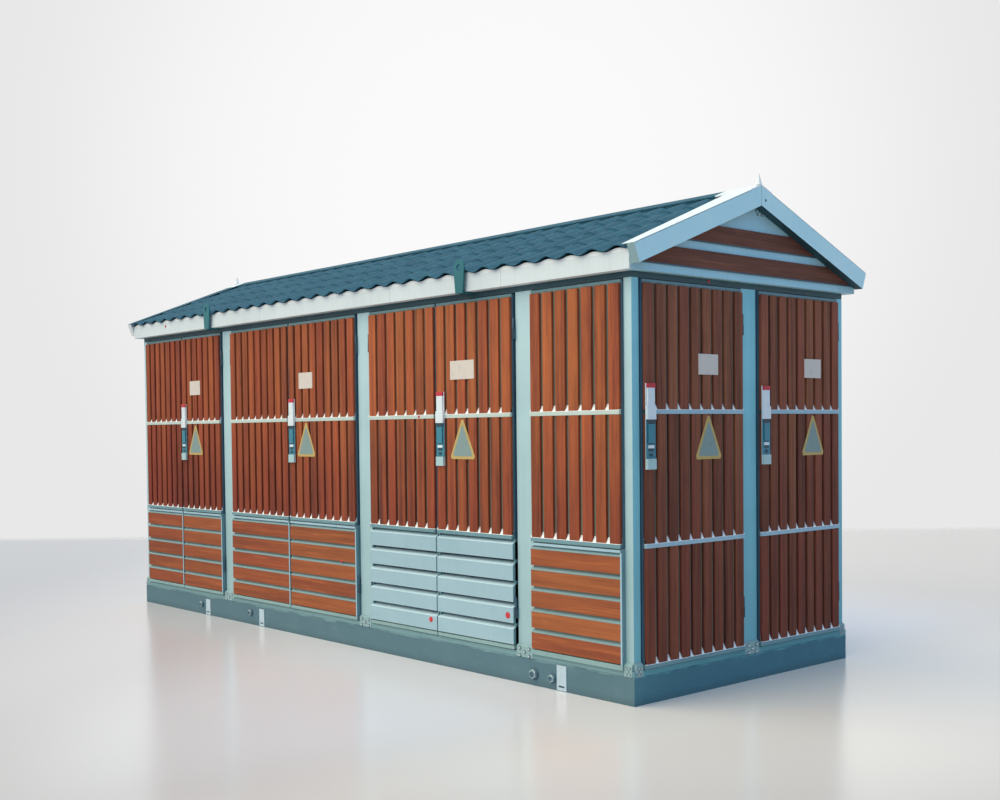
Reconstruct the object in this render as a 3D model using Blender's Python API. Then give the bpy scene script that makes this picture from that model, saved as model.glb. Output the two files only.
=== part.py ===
"""Compact substation housing: slatted doors and panels between posts, on a plinth, under a tile-sheet roof.

Frame: metres, +Z up, origin at the middle of the footprint at ground level. The long front faces -Y and the
gable end with the two single doors faces +X.

Each wall is drawn in its own side frame: x runs to the right for someone who faces the wall from outside,
y runs inwards from the face of the posts, so what stands proud of the posts has a negative y, and z is up.
"""

import math

import bmesh
import bpy
from mathutils import Matrix

# Footprint and plinth
PLINTH_LENGTH = 6.12
PLINTH_WIDTH = 2.18
PLINTH_HEIGHT = 0.199
PLINTH_THICKNESS = 0.10
PLINTH_LEDGE = 0.016
SILL_BAND = 0.034
SILL_GROOVE = 0.004
FLOOR_THICKNESS = 0.026

# Posts and the frame beams over them
CORNER_POST = 0.060
MIDDLE_POST = 0.145
END_POST_SHIFT = 0.025
STOP_DEPTH = 0.026
STOP_LIP = 0.020
POST_DEPTH = 0.050
HEADER_DEPTH = 0.080
HEADER_HEIGHT = 0.084
HEADER_LIP = 0.021

# Clear bay widths of the long front, left to right; the last one takes what the others leave
FRONT_BAYS = (1.410, 1.820, 1.545)

# Doors and panels; sections run from the top of one rail to the next, and the lowest takes the rest
WALL_HEIGHT = 2.256
UPPER_SECTION = 0.751
MIDDLE_SECTION = 0.776
BOTTOM_RAIL = 0.030
LEAF_GAP = 0.006
TRAY_PROUD = 0.012
SLAT_PROUD = 0.030
RAIL_PROUD = 0.031
RAIL_HEIGHT = 0.024
TOP_STRIP = 0.022
RAIL_SLOPE = 0.034
GROOVE = 0.027
SIDE_MARGIN = 0.012
STILE = 0.014
LOWER_ROWS = 5
BOARD_GAP = 0.006
BOARD_SLOPE = 0.010
BOARD_BAR = (0.008, 0.024)
HOOD_GAP = 0.014
HOOD_SLOPE = 0.022
BLADE_THICKNESS = 0.005
SLAT_PITCH = 0.102
OVERLAP = 0.003

# Hinges: two to a leaf, each a knuckle on the leaf that stands on a knuckle of the post
HINGE_GAP = 0.014
MEETING_GAP = 0.008
HINGE_PROUD = 0.013
KNUCKLE_RADIUS = 0.0065
KNUCKLE_LENGTH = 0.065
KNUCKLE_SIDES = 10
WING_THICKNESS = 0.003
LOW_HINGE_RISE = 0.271
HIGH_HINGE_DROP = 0.220

# Locks on the free edge of each opening leaf
LOCK_DROP = 0.344
LOCK_WIDTH = 0.078
LOCK_BASE = 0.006
LOCK_PROUD = 0.018
FRONT_LOCK_INSET = 0.022
END_LOCK_INSET = 0.008
LOCK_STEPS = (
    ("foot", 0.062, 1.0, 1.0),
    ("keyhole", 0.060, 0.86, 0.45),
    ("bar", 0.020, 1.0, 0.8),
    ("recess", 0.146, 1.1, 0.35),
    ("head", 0.079, 1.0, 1.0),
    ("neck", 0.107, 0.80, 0.7),
    ("cap", 0.023, 0.95, 0.85),
)
LEVER_WIDTH = 0.034
LEVER_REACH = 0.004

# Roof
ROOF_SLOPE = 0.385
EAVE_OUT = 0.060
EAVE_DROP = 0.020
FASCIA_RISE = 0.036
FASCIA_HEIGHT = 0.101
FASCIA_THICKNESS = 0.015
SOFFIT_THICKNESS = 0.008
GABLE_OUT = 0.037
GABLE_BACK = 0.040
GABLE_BOARD_PROUD = 0.008
GABLE_BOARD_RISES = (0.051, 0.211)
GABLE_BOARD_HEIGHT = 0.105
GABLE_BOARD_TUCK = 0.008
BARGE_THICKNESS = 0.060
BARGE_DEPTH = 0.112
BARGE_END_OUT = 0.090
SHEET_THICKNESS = 0.006
WAVE_PITCH = 0.1855
WAVE_HEIGHT = 0.024
WAVE_STEPS = 4
TILE_ROWS = 4
TILE_STEP = 0.010
RIDGE_HALF_WIDTH = 0.105
RIDGE_THICKNESS = 0.008
FINIAL_RADIUS = 0.020
FINIAL_HEIGHT = 0.068
FINIAL_SIDES = 8

# Lifting lugs on the eaves
LUG_PLACE = 1.660
LUG_THICKNESS = 0.010
LUG_FOOT_HALF = 0.036
LUG_HEAD_HALF = 0.052
LUG_RISE = 0.107
LUG_EYE_RADIUS = 0.022
LUG_ARC_STEPS = 8

# Running clearance between pieces that rest on each other
SEAT = 0.0003

BODY_LENGTH = PLINTH_LENGTH - 2 * PLINTH_LEDGE
BODY_WIDTH = PLINTH_WIDTH - 2 * PLINTH_LEDGE
FLOOR_TOP = PLINTH_HEIGHT + SEAT + FLOOR_THICKNESS
LEAF_TOP = PLINTH_HEIGHT + WALL_HEIGHT
HIGH_RAIL = LEAF_TOP - UPPER_SECTION
MIDDLE_RAIL = HIGH_RAIL - MIDDLE_SECTION
LOW_RAIL = PLINTH_HEIGHT + BOTTOM_RAIL
HINGE_LEVELS = (PLINTH_HEIGHT + LOW_HINGE_RISE, LEAF_TOP - HIGH_HINGE_DROP)
LOCK_BOTTOM = HIGH_RAIL - LOCK_DROP
HEADER_BOTTOM = LEAF_TOP + LEAF_GAP
HEADER_TOP = HEADER_BOTTOM + HEADER_HEIGHT
FASCIA_BOTTOM = HEADER_BOTTOM + FASCIA_RISE
FASCIA_TOP = FASCIA_BOTTOM + FASCIA_HEIGHT
LUG_TOP = FASCIA_TOP + LUG_RISE
FASCIA_FACE = PLINTH_WIDTH / 2 + EAVE_OUT
GABLE_FACE = PLINTH_LENGTH / 2 + GABLE_OUT
BARGE_BACK = GABLE_FACE + GABLE_BOARD_PROUD + SEAT
SLOPE_STRETCH = math.hypot(1.0, ROOF_SLOPE)
UNDERSIDE_RIDGE = FASCIA_TOP + SEAT + FASCIA_FACE * ROOF_SLOPE
CREST_RIDGE = UNDERSIDE_RIDGE + (SHEET_THICKNESS + WAVE_HEIGHT + TILE_STEP) * SLOPE_STRETCH

# Side frames: turn about +Z and distance from the middle to the face of the posts
SIDES = {
    "front": (0.0, BODY_WIDTH / 2),
    "right": (90.0, BODY_LENGTH / 2),
    "back": (180.0, BODY_WIDTH / 2),
    "left": (270.0, BODY_LENGTH / 2),
}


def clear_scene():
    for item in list(bpy.data.objects):
        bpy.data.objects.remove(item, do_unlink=True)


def make_material(name, colour, roughness, metallic=0.0):
    """Return a Principled material with a plain linear colour."""
    finish = bpy.data.materials.new(name)
    finish.use_nodes = True
    shader = finish.node_tree.nodes["Principled BSDF"]
    shader.inputs["Base Color"].default_value = (*colour, 1.0)
    shader.inputs["Roughness"].default_value = roughness
    shader.inputs["Metallic"].default_value = metallic
    return finish


def side_frame(side):
    """Return the matrix that carries a side frame into the world."""
    turn, distance = SIDES[side]
    return Matrix.Rotation(math.radians(turn), 4, "Z") @ Matrix.Translation((0.0, -distance, 0.0))


def sweep(outline, axis, start, end):
    """Extrude a closed outline along one axis.

    The outline holds (y, z) pairs for axis "x", (x, z) pairs for "y" and (x, y) pairs for "z".
    """
    place = {
        "x": lambda a, b: (start, a, b),
        "y": lambda a, b: (a, start, b),
        "z": lambda a, b: (a, b, start),
    }[axis]
    along = {"x": (1, 0, 0), "y": (0, 1, 0), "z": (0, 0, 1)}[axis]
    solid = bmesh.new()
    face = solid.faces.new([solid.verts.new(place(a, b)) for a, b in outline])
    grown = bmesh.ops.extrude_face_region(solid, geom=[face])["geom"]
    moved = [item for item in grown if isinstance(item, bmesh.types.BMVert)]
    bmesh.ops.translate(solid, verts=moved, vec=[part * (end - start) for part in along])
    bmesh.ops.recalc_face_normals(solid, faces=solid.faces)
    return solid


def rectangle(left, right, low, high):
    return [(left, low), (right, low), (right, high), (left, high)]


def block(x_range, y_range, z_range):
    return sweep(rectangle(*x_range, *y_range), "z", *z_range)


def rod(x, y, z_range, radius, sides, tip=None):
    """Make an upright round bar, or a cone where tip gives the radius at its top."""
    solid = bmesh.new()
    low, high = z_range
    top = radius if tip is None else tip
    middle = Matrix.Translation((x, y, (low + high) / 2))
    bmesh.ops.create_cone(
        solid, cap_ends=True, segments=sides, radius1=radius, radius2=top, depth=high - low, matrix=middle
    )
    return solid


def place_solid(name, solid, finish, frame):
    """Turn a bmesh into a named object with its own mesh and material."""
    mesh = bpy.data.meshes.new(name)
    solid.to_mesh(mesh)
    solid.free()
    mesh.materials.append(finish)
    item = bpy.data.objects.new(name, mesh)
    bpy.context.scene.collection.objects.link(item)
    item.matrix_world = frame
    return item


def combine(name, solids, finish, frame, cuts=()):
    """Join overlapping solids into one closed body and cut the given solids out of it."""
    body = place_solid(name, solids[0], finish, Matrix.Identity(4))
    helpers = []
    for operation, group in (("UNION", solids[1:]), ("DIFFERENCE", cuts)):
        if not group:
            continue
        operands = bpy.data.collections.new(name + "_" + operation.lower())
        bpy.context.scene.collection.children.link(operands)
        for solid in group:
            helper = place_solid(name + "_piece", solid, finish, Matrix.Identity(4))
            bpy.context.scene.collection.objects.unlink(helper)
            operands.objects.link(helper)
            helpers.append(helper)
        modifier = body.modifiers.new(operation.lower(), "BOOLEAN")
        modifier.operation = operation
        modifier.solver = "EXACT"
        modifier.operand_type = "COLLECTION"
        modifier.collection = operands
    if helpers:
        bpy.context.view_layer.update()
        graph = bpy.context.evaluated_depsgraph_get()
        joined = bpy.data.meshes.new_from_object(body.evaluated_get(graph))
        body.modifiers.clear()
        body.data = joined
        body.data.name = name
        for helper in helpers:
            bpy.data.objects.remove(helper, do_unlink=True)
    body.matrix_world = frame
    return body


def underside_height(y):
    """Height of the roof sheet's underside at a distance y from the ridge line."""
    return UNDERSIDE_RIDGE - abs(y) * ROOF_SLOPE


def crest_height(y):
    """Height of the plane that the sheet's wave crests reach."""
    return CREST_RIDGE - abs(y) * ROOF_SLOPE


def build_plinth(finish):
    """Four beams, with a groove that parts the sill band from the beam below it."""
    band = PLINTH_HEIGHT - SILL_BAND
    groove_low = (-PLINTH_LEDGE, band - SILL_GROOVE)
    groove_deep = (-PLINTH_LEDGE + SILL_GROOVE, band)
    groove_high = (-PLINTH_LEDGE, band + SILL_GROOVE)
    inner = PLINTH_THICKNESS - PLINTH_LEDGE
    profile = [
        (-PLINTH_LEDGE, 0.0),
        groove_low,
        groove_deep,
        groove_high,
        (-PLINTH_LEDGE, PLINTH_HEIGHT),
        (inner, PLINTH_HEIGHT),
        (inner, 0.0),
    ]
    half_lengths = {
        "front": PLINTH_LENGTH / 2,
        "back": PLINTH_LENGTH / 2,
        "right": PLINTH_WIDTH / 2 - PLINTH_THICKNESS - SEAT,
        "left": PLINTH_WIDTH / 2 - PLINTH_THICKNESS - SEAT,
    }
    for side, half in half_lengths.items():
        place_solid("plinth_" + side, sweep(profile, "x", -half, half), finish, side_frame(side))


def build_floor(finish):
    half_length = BODY_LENGTH / 2 - STOP_DEPTH
    half_width = BODY_WIDTH / 2 - STOP_DEPTH
    plate = block(
        (-half_length, half_length), (-half_width, half_width), (PLINTH_HEIGHT + SEAT, FLOOR_TOP)
    )
    place_solid("floor_plate", plate, finish, Matrix.Identity(4))


def post_hinges(axis_x, direction):
    """Make a post's knuckles with the brackets that carry them.

    direction is +1 where the post lies to the right of the hinge axis and -1 where it lies to the left.
    """
    solids = []
    half_wing = WING_THICKNESS / 2
    web_near = axis_x + direction * (HINGE_GAP / 2 + half_wing)
    web_far = web_near + direction * WING_THICKNESS
    for level in HINGE_LEVELS:
        span = (level - KNUCKLE_LENGTH, level)
        wing = sorted((axis_x, web_far))
        web = sorted((web_near, web_far))
        solids.append(rod(axis_x, -HINGE_PROUD, span, KNUCKLE_RADIUS, KNUCKLE_SIDES))
        solids.append(block(wing, (-HINGE_PROUD - half_wing, -HINGE_PROUD + half_wing), span))
        solids.append(block(web, (-HINGE_PROUD - half_wing, OVERLAP), span))
    return solids


def post_levels():
    """Heights of a post: its face bar, and the stop flange behind it."""
    bar = (PLINTH_HEIGHT + SEAT, HEADER_BOTTOM - SEAT)
    flange = (FLOOR_TOP + SEAT, HEADER_BOTTOM - HEADER_LIP - SEAT)
    return bar, flange


def build_middle_post(name, side, centre, hinge_sides, finish):
    """A T-shaped post: a face bar with a wider flange behind it that the leaves close against."""
    bar_levels, flange_levels = post_levels()
    half = MIDDLE_POST / 2
    bar_depth = STOP_DEPTH - SEAT
    bar = block((centre - half, centre + half), (0.0, bar_depth), bar_levels)
    flange = block(
        (centre - half - STOP_LIP, centre + half + STOP_LIP), (bar_depth, POST_DEPTH), flange_levels
    )
    core_depth = (bar_depth - OVERLAP, POST_DEPTH - OVERLAP)
    core = block((centre - half / 2, centre + half / 2), core_depth, flange_levels)
    solids = [bar, core, flange]
    for direction in hinge_sides:
        axis = centre + direction * (half + HINGE_GAP / 2)
        solids += post_hinges(axis, -direction)
    combine(name, solids, finish, side_frame(side))


def build_corner_post(name, side, mirrored, hinged, finish):
    """An angle post. It stands at the right end of its side, or at the left end where mirrored is set."""
    bar_levels, flange_levels = post_levels()
    depth = STOP_DEPTH - SEAT
    reach = CORNER_POST + STOP_LIP
    half = SIDES["right"][1] if side in ("front", "back") else SIDES["front"][1]
    turn = 1 if mirrored else -1
    corner = -turn * half
    bar_outline = [
        (0.0, 0.0),
        (CORNER_POST, 0.0),
        (CORNER_POST, depth),
        (depth, depth),
        (depth, CORNER_POST),
        (0.0, CORNER_POST),
    ]
    flange_outline = [
        (depth - OVERLAP, depth - OVERLAP),
        (CORNER_POST - OVERLAP, depth - OVERLAP),
        (CORNER_POST - OVERLAP, depth),
        (reach, depth),
        (reach, POST_DEPTH),
        (POST_DEPTH, POST_DEPTH),
        (POST_DEPTH, reach),
        (depth, reach),
        (depth, CORNER_POST - OVERLAP),
        (depth - OVERLAP, CORNER_POST - OVERLAP),
    ]
    bar = sweep([(corner + turn * a, b) for a, b in bar_outline], "z", *bar_levels)
    flange = sweep([(corner + turn * a, b) for a, b in flange_outline], "z", *flange_levels)
    solids = [bar, flange]
    if hinged:
        axis = corner + turn * (CORNER_POST + HINGE_GAP / 2)
        solids += post_hinges(axis, -turn)
    combine(name, solids, finish, side_frame(side))


def build_headers(finish):
    """Frame beams over the leaves, each with a lip that the leaves close against."""
    main = rectangle(0.0, HEADER_DEPTH, HEADER_BOTTOM, HEADER_TOP)
    lip = rectangle(STOP_DEPTH, POST_DEPTH, HEADER_BOTTOM - HEADER_LIP, HEADER_BOTTOM + OVERLAP)
    long_half = BODY_LENGTH / 2
    short_half = BODY_WIDTH / 2 - HEADER_DEPTH - SEAT
    spans = {
        "front": (long_half, long_half - STOP_DEPTH),
        "back": (long_half, long_half - STOP_DEPTH),
        "right": (short_half, short_half),
        "left": (short_half, short_half),
    }
    for side, (half, lip_half) in spans.items():
        solids = [sweep(main, "x", -half, half), sweep(lip, "x", -lip_half, lip_half)]
        combine("header_" + side, solids, finish, side_frame(side))


def rail(left, right, level, height, slope):
    """A cross rail whose top slopes up to the tray, so that the grooves above it drain."""
    back = -TRAY_PROUD + OVERLAP
    outline = [
        (-RAIL_PROUD, level - height),
        (-RAIL_PROUD, level),
        (-TRAY_PROUD, level + slope),
        (back, level + slope),
        (back, level - height),
    ]
    return sweep(outline, "x", left, right)


def slats(left, right, low, high):
    """Upright slats with even grooves between them, over one section of a leaf."""
    count = round((right - left) / SLAT_PITCH)
    pitch = (right - left - 2 * SIDE_MARGIN + GROOVE) / count
    depth = (-SLAT_PROUD, -TRAY_PROUD + OVERLAP)
    levels = (low - OVERLAP, high + OVERLAP)
    starts = [left + SIDE_MARGIN + index * pitch for index in range(count)]
    return [block((start, start + pitch - GROOVE), depth, levels) for start in starts]


def stiles(left, right, low, high, back):
    """The two upright frame bars beside a lower panel."""
    levels = (low - OVERLAP, high + OVERLAP)
    depth = (-RAIL_PROUD + SEAT, back)
    return [block((left, left + STILE), depth, levels), block((right - STILE, right), depth, levels)]


def lower_boards(left, right, low, high):
    """Level boards under a bar, between stiles, each with a top that slopes back to the tray."""
    back = -TRAY_PROUD + OVERLAP
    solids = stiles(left, right, low, high, back)
    bar_levels = (high - BOARD_BAR[1], high - BOARD_BAR[0])
    solids.append(block((left + SEAT, right - SEAT), (-SLAT_PROUD, back), bar_levels))
    pitch = (bar_levels[0] - low) / LOWER_ROWS
    for row in range(LOWER_ROWS):
        base = low + row * pitch + BOARD_GAP / 2
        crown = base + pitch - BOARD_GAP
        profile = [
            (-SLAT_PROUD, base),
            (-SLAT_PROUD, crown - BOARD_SLOPE),
            (-TRAY_PROUD, crown),
            (back, crown),
            (back, base),
        ]
        solids.append(sweep(profile, "x", left + STILE - OVERLAP, right - STILE + OVERLAP))
    return solids


def louvre_blades(left, right, low, high, back):
    """An open louvre: folded hoods with closed ends, over the full width, with a bar behind each end."""
    pitch = (high - low) / LOWER_ROWS
    front = -SLAT_PROUD
    inner = back - BLADE_THICKNESS
    bars = ((left, left + STILE), (right - STILE, right))
    solids = [block(span, (-TRAY_PROUD, back), (low - OVERLAP, high + OVERLAP)) for span in bars]
    for row in range(LOWER_ROWS):
        base = low + row * pitch + HOOD_GAP / 2
        crown = base + pitch - HOOD_GAP
        shoulder = crown - HOOD_SLOPE
        profile = [
            (front, base),
            (front, shoulder),
            (inner, crown),
            (inner, crown - BLADE_THICKNESS),
            (front + BLADE_THICKNESS, shoulder - BLADE_THICKNESS),
            (front + BLADE_THICKNESS, base),
        ]
        solids.append(sweep(profile, "x", left, right))
        end = [(front, base), (front, shoulder), (inner, crown), (inner, base)]
        solids.append(sweep(end, "x", left, left + BLADE_THICKNESS))
        solids.append(sweep(end, "x", right - BLADE_THICKNESS, right))
    return solids


def panel_solids(left, right, bottom, back, lower):
    """All the overlapping solids of one leaf or fixed panel; lower is "slats", "boards" or "louvre"."""
    panel_low = MIDDLE_RAIL - RAIL_HEIGHT
    tray_low = panel_low if lower == "louvre" else bottom
    solids = [
        block((left, right), (-TRAY_PROUD, back), (tray_low, LEAF_TOP)),
        rail(left, right, LOW_RAIL, LOW_RAIL - bottom, RAIL_SLOPE if lower == "slats" else 0.0),
        rail(left, right, MIDDLE_RAIL, RAIL_HEIGHT, RAIL_SLOPE),
        rail(left, right, HIGH_RAIL, RAIL_HEIGHT, RAIL_SLOPE),
    ]
    solids += slats(left, right, MIDDLE_RAIL, HIGH_RAIL - RAIL_HEIGHT)
    solids += slats(left, right, HIGH_RAIL, LEAF_TOP - TOP_STRIP)
    if lower == "slats":
        solids += slats(left, right, LOW_RAIL, panel_low)
    elif lower == "boards":
        solids += lower_boards(left, right, LOW_RAIL, panel_low)
    else:
        solids += louvre_blades(left, right, LOW_RAIL, panel_low, back)
        solids.append(block((left, right), (-RAIL_PROUD + OVERLAP, back), (bottom, LOW_RAIL - SEAT)))
    return solids


def leaf_hinges(direction):
    """Make a leaf's knuckles and wings around its hinge axis; direction points from the axis to the leaf."""
    solids = []
    half_wing = WING_THICKNESS / 2
    for level in HINGE_LEVELS:
        span = (level + SEAT, level + SEAT + KNUCKLE_LENGTH)
        wing = sorted((0.0, direction * (HINGE_GAP / 2 + SIDE_MARGIN / 2)))
        solids.append(rod(0.0, 0.0, span, KNUCKLE_RADIUS, KNUCKLE_SIDES))
        solids.append(block(wing, (-half_wing, half_wing), span))
    return solids


def build_leaf(name, side, hinge_edge, direction, width, lower, finish):
    """A door leaf whose origin lies on its hinge axis; direction points from the axis to the free edge."""
    near = direction * HINGE_GAP / 2
    left, right = sorted((near, near + direction * width))
    bottom = PLINTH_HEIGHT + LEAF_GAP
    solids = panel_solids(left, right, bottom, STOP_DEPTH - LEAF_GAP, lower)
    for solid in solids:
        bmesh.ops.translate(solid, verts=solid.verts, vec=(0.0, HINGE_PROUD, 0.0))
    solids += leaf_hinges(direction)
    frame = side_frame(side) @ Matrix.Translation((hinge_edge + near, -HINGE_PROUD, 0.0))
    return combine(name, solids, finish, frame)


def build_fixed_panel(name, side, left, right, lower, finish):
    solids = panel_solids(left + SEAT, right - SEAT, PLINTH_HEIGHT + SEAT, STOP_DEPTH - 2 * SEAT, lower)
    combine(name, solids, finish, side_frame(side))


def build_lock(name, leaf, free_edge, inset, finish):
    """A swing-handle lock near the free edge of a leaf; the inset is measured from that edge."""
    centre = free_edge + inset + LOCK_WIDTH / 2
    back = HINGE_PROUD - RAIL_PROUD - SEAT
    height = sum(step[1] for step in LOCK_STEPS)
    half = LOCK_WIDTH / 2
    span = (LOCK_BOTTOM, LOCK_BOTTOM + height)
    solids = [block((centre - half, centre + half), (back - LOCK_BASE, back), span)]
    level = LOCK_BOTTOM
    lever_low = LOCK_BOTTOM
    for label, tall, broad, proud in LOCK_STEPS:
        reach = half * broad
        front = back - LOCK_BASE - (LOCK_PROUD - LOCK_BASE) * proud
        solids.append(block((centre - reach, centre + reach), (front, back), (level, level + tall)))
        if label == "recess":
            lever_low = level
            lever_high = level + tall
        level += tall
    lever_front = back - LOCK_PROUD + SEAT
    outline = [
        (back - OVERLAP, lever_low - OVERLAP),
        (lever_front, lever_low - OVERLAP),
        (lever_front - LEVER_REACH, lever_low + LEVER_WIDTH),
        (lever_front - LEVER_REACH, lever_low + 2 * LEVER_WIDTH),
        (lever_front, lever_high + OVERLAP),
        (back - OVERLAP, lever_high + OVERLAP),
    ]
    solids.append(sweep(outline, "x", centre - LEVER_WIDTH / 2, centre + LEVER_WIDTH / 2))
    lock = combine(name, solids, finish, leaf.matrix_world)
    lock.parent = leaf
    lock.matrix_parent_inverse = leaf.matrix_world.inverted()


def front_layout():
    """Return the (left, right) edges of the four clear bays of the long sides, left to right."""
    taken = 2 * CORNER_POST + 3 * MIDDLE_POST + sum(FRONT_BAYS)
    widths = (*FRONT_BAYS, BODY_LENGTH - taken)
    bays = []
    left = -BODY_LENGTH / 2 + CORNER_POST
    for width in widths:
        bays.append((left, left + width))
        left += width + MIDDLE_POST
    return bays


def end_layout():
    """Return the edges of the two clear bays of an end wall; its middle post stands right of centre."""
    half = BODY_WIDTH / 2 - CORNER_POST
    return [(-half, END_POST_SHIFT - MIDDLE_POST / 2), (END_POST_SHIFT + MIDDLE_POST / 2, half)]


def build_front(post_finish, wood, lock_finish):
    """Three pairs of doors and one fixed panel, with the posts between them."""
    bays = front_layout()
    lower_panels = ("boards", "boards", "louvre")
    for number, ((left, right), lower) in enumerate(zip(bays[:3], lower_panels), start=1):
        width = (right - left - 2 * HINGE_GAP - MEETING_GAP) / 2
        label = "front_door_" + str(number)
        build_leaf(label + "_left", "front", left, 1, width, lower, wood)
        active = build_leaf(label + "_right", "front", right, -1, width, lower, wood)
        build_lock("front_lock_" + str(number), active, -HINGE_GAP / 2 - width, FRONT_LOCK_INSET, lock_finish)
    build_fixed_panel("front_panel_4", "front", *bays[3], "boards", wood)
    hinge_sides = ((-1, 1), (-1, 1), (-1,))
    for number, hinges in enumerate(hinge_sides, start=1):
        centre = (bays[number - 1][1] + bays[number][0]) / 2
        build_middle_post("front_post_" + str(number), "front", centre, hinges, post_finish)


def build_right_end(post_finish, wood, lock_finish):
    """Two single doors, both hinged on their right."""
    for number, (left, right) in enumerate(end_layout(), start=1):
        width = right - left - HINGE_GAP - MEETING_GAP
        leaf = build_leaf("end_door_" + str(number), "right", right, -1, width, "slats", wood)
        build_lock("end_lock_" + str(number), leaf, -HINGE_GAP / 2 - width, END_LOCK_INSET, lock_finish)
    build_middle_post("right_post", "right", END_POST_SHIFT, (-1,), post_finish)


def build_hidden_sides(post_finish, wood):
    """The back repeats the front's bays and the left end the right end's, all with fixed panels."""
    back_bays = [(-right, -left) for left, right in reversed(front_layout())]
    for number, (left, right) in enumerate(back_bays, start=1):
        build_fixed_panel("back_panel_" + str(number), "back", left, right, "boards", wood)
    for number in range(1, 4):
        centre = (back_bays[number - 1][1] + back_bays[number][0]) / 2
        build_middle_post("back_post_" + str(number), "back", centre, (), post_finish)
    for number, (left, right) in enumerate(end_layout(), start=1):
        build_fixed_panel("left_panel_" + str(number), "left", left, right, "slats", wood)
    build_middle_post("left_post", "left", END_POST_SHIFT, (), post_finish)


def build_corners(finish):
    build_corner_post("corner_post_front_left", "front", True, True, finish)
    build_corner_post("corner_post_front_right", "right", True, False, finish)
    build_corner_post("corner_post_back_right", "right", False, True, finish)
    build_corner_post("corner_post_back_left", "left", True, False, finish)


def build_fascias(finish):
    """Eave boards with a soffit that reaches back to the header."""
    face = BODY_WIDTH / 2 - FASCIA_FACE
    board = rectangle(face, face + FASCIA_THICKNESS, FASCIA_BOTTOM, FASCIA_TOP)
    soffit = rectangle(face + OVERLAP, -SEAT, FASCIA_BOTTOM, FASCIA_BOTTOM + SOFFIT_THICKNESS)
    soffit_half = BODY_LENGTH / 2 - SEAT
    for side in ("front", "back"):
        solids = [sweep(board, "x", -GABLE_FACE, GABLE_FACE), sweep(soffit, "x", -soffit_half, soffit_half)]
        combine("fascia_" + side, solids, finish, side_frame(side))


def gable_band(low, high):
    """Outline of a level gable board whose ends are tucked behind the barge, as (x, z) pairs."""
    barge_low = CREST_RIDGE - BARGE_DEPTH * SLOPE_STRETCH
    low_half = (barge_low + GABLE_BOARD_TUCK - low) / ROOF_SLOPE
    high_half = (barge_low + GABLE_BOARD_TUCK - high) / ROOF_SLOPE
    return [(-low_half, low), (low_half, low), (high_half, high), (-high_half, high)]


def build_gables(finish):
    """Gable walls with a base beam in front of the header and two level boards."""
    face = BODY_LENGTH / 2 - GABLE_FACE
    fascia_inner = FASCIA_FACE - FASCIA_THICKNESS - SEAT
    shoulder = underside_height(fascia_inner) - SEAT * SLOPE_STRETCH
    peak = UNDERSIDE_RIDGE - SEAT * SLOPE_STRETCH
    base = HEADER_TOP + SEAT
    wall = [
        (-fascia_inner, base),
        (fascia_inner, base),
        (fascia_inner, shoulder),
        (0.0, peak),
        (-fascia_inner, shoulder),
    ]
    beam = rectangle(-fascia_inner, fascia_inner, FASCIA_BOTTOM, base + OVERLAP)
    for side in ("right", "left"):
        solids = [sweep(wall, "y", face, GABLE_BACK), sweep(beam, "y", face, -SEAT)]
        for rise in GABLE_BOARD_RISES:
            band = gable_band(FASCIA_BOTTOM + rise, FASCIA_BOTTOM + rise + GABLE_BOARD_HEIGHT)
            solids.append(sweep(band, "y", face - GABLE_BOARD_PROUD, face + OVERLAP))
        combine("gable_" + side, solids, finish, side_frame(side))


def build_barges(finish):
    """Barge boards in front of the gables: two to an end, mitred at the peak and cut square at the eaves."""
    end = PLINTH_WIDTH / 2 + BARGE_END_OUT
    top_end = crest_height(end)
    foot = end - BARGE_DEPTH * ROOF_SLOPE / SLOPE_STRETCH
    mitre_drop = BARGE_DEPTH * SLOPE_STRETCH
    back = BODY_LENGTH / 2 - BARGE_BACK
    for side in ("right", "left"):
        for label, turn in (("left", -1), ("right", 1)):
            outline = [
                (turn * SEAT, crest_height(SEAT)),
                (turn * end, top_end),
                (turn * foot, top_end - BARGE_DEPTH / SLOPE_STRETCH),
                (turn * SEAT, crest_height(SEAT) - mitre_drop),
            ]
            board = sweep(outline, "y", back - BARGE_THICKNESS, back)
            place_solid("barge_" + side + "_" + label, board, finish, side_frame(side))


def sheet_outline():
    """Cross-section of one roof sheet down the slope, as (y, z) pairs, with a small step at each tile row."""
    eave = FASCIA_FACE + EAVE_DROP
    ridge = SEAT
    row = (eave - ridge) / TILE_ROWS
    thickness = SHEET_THICKNESS * SLOPE_STRETCH
    step = TILE_STEP * SLOPE_STRETCH
    outline = [(-eave, underside_height(eave)), (-ridge, underside_height(ridge))]
    for index in range(TILE_ROWS):
        upper = ridge + index * row
        lower = upper + row
        outline.append((-upper, underside_height(upper) + thickness))
        outline.append((-lower, underside_height(lower) + thickness + step))
    return outline


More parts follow.
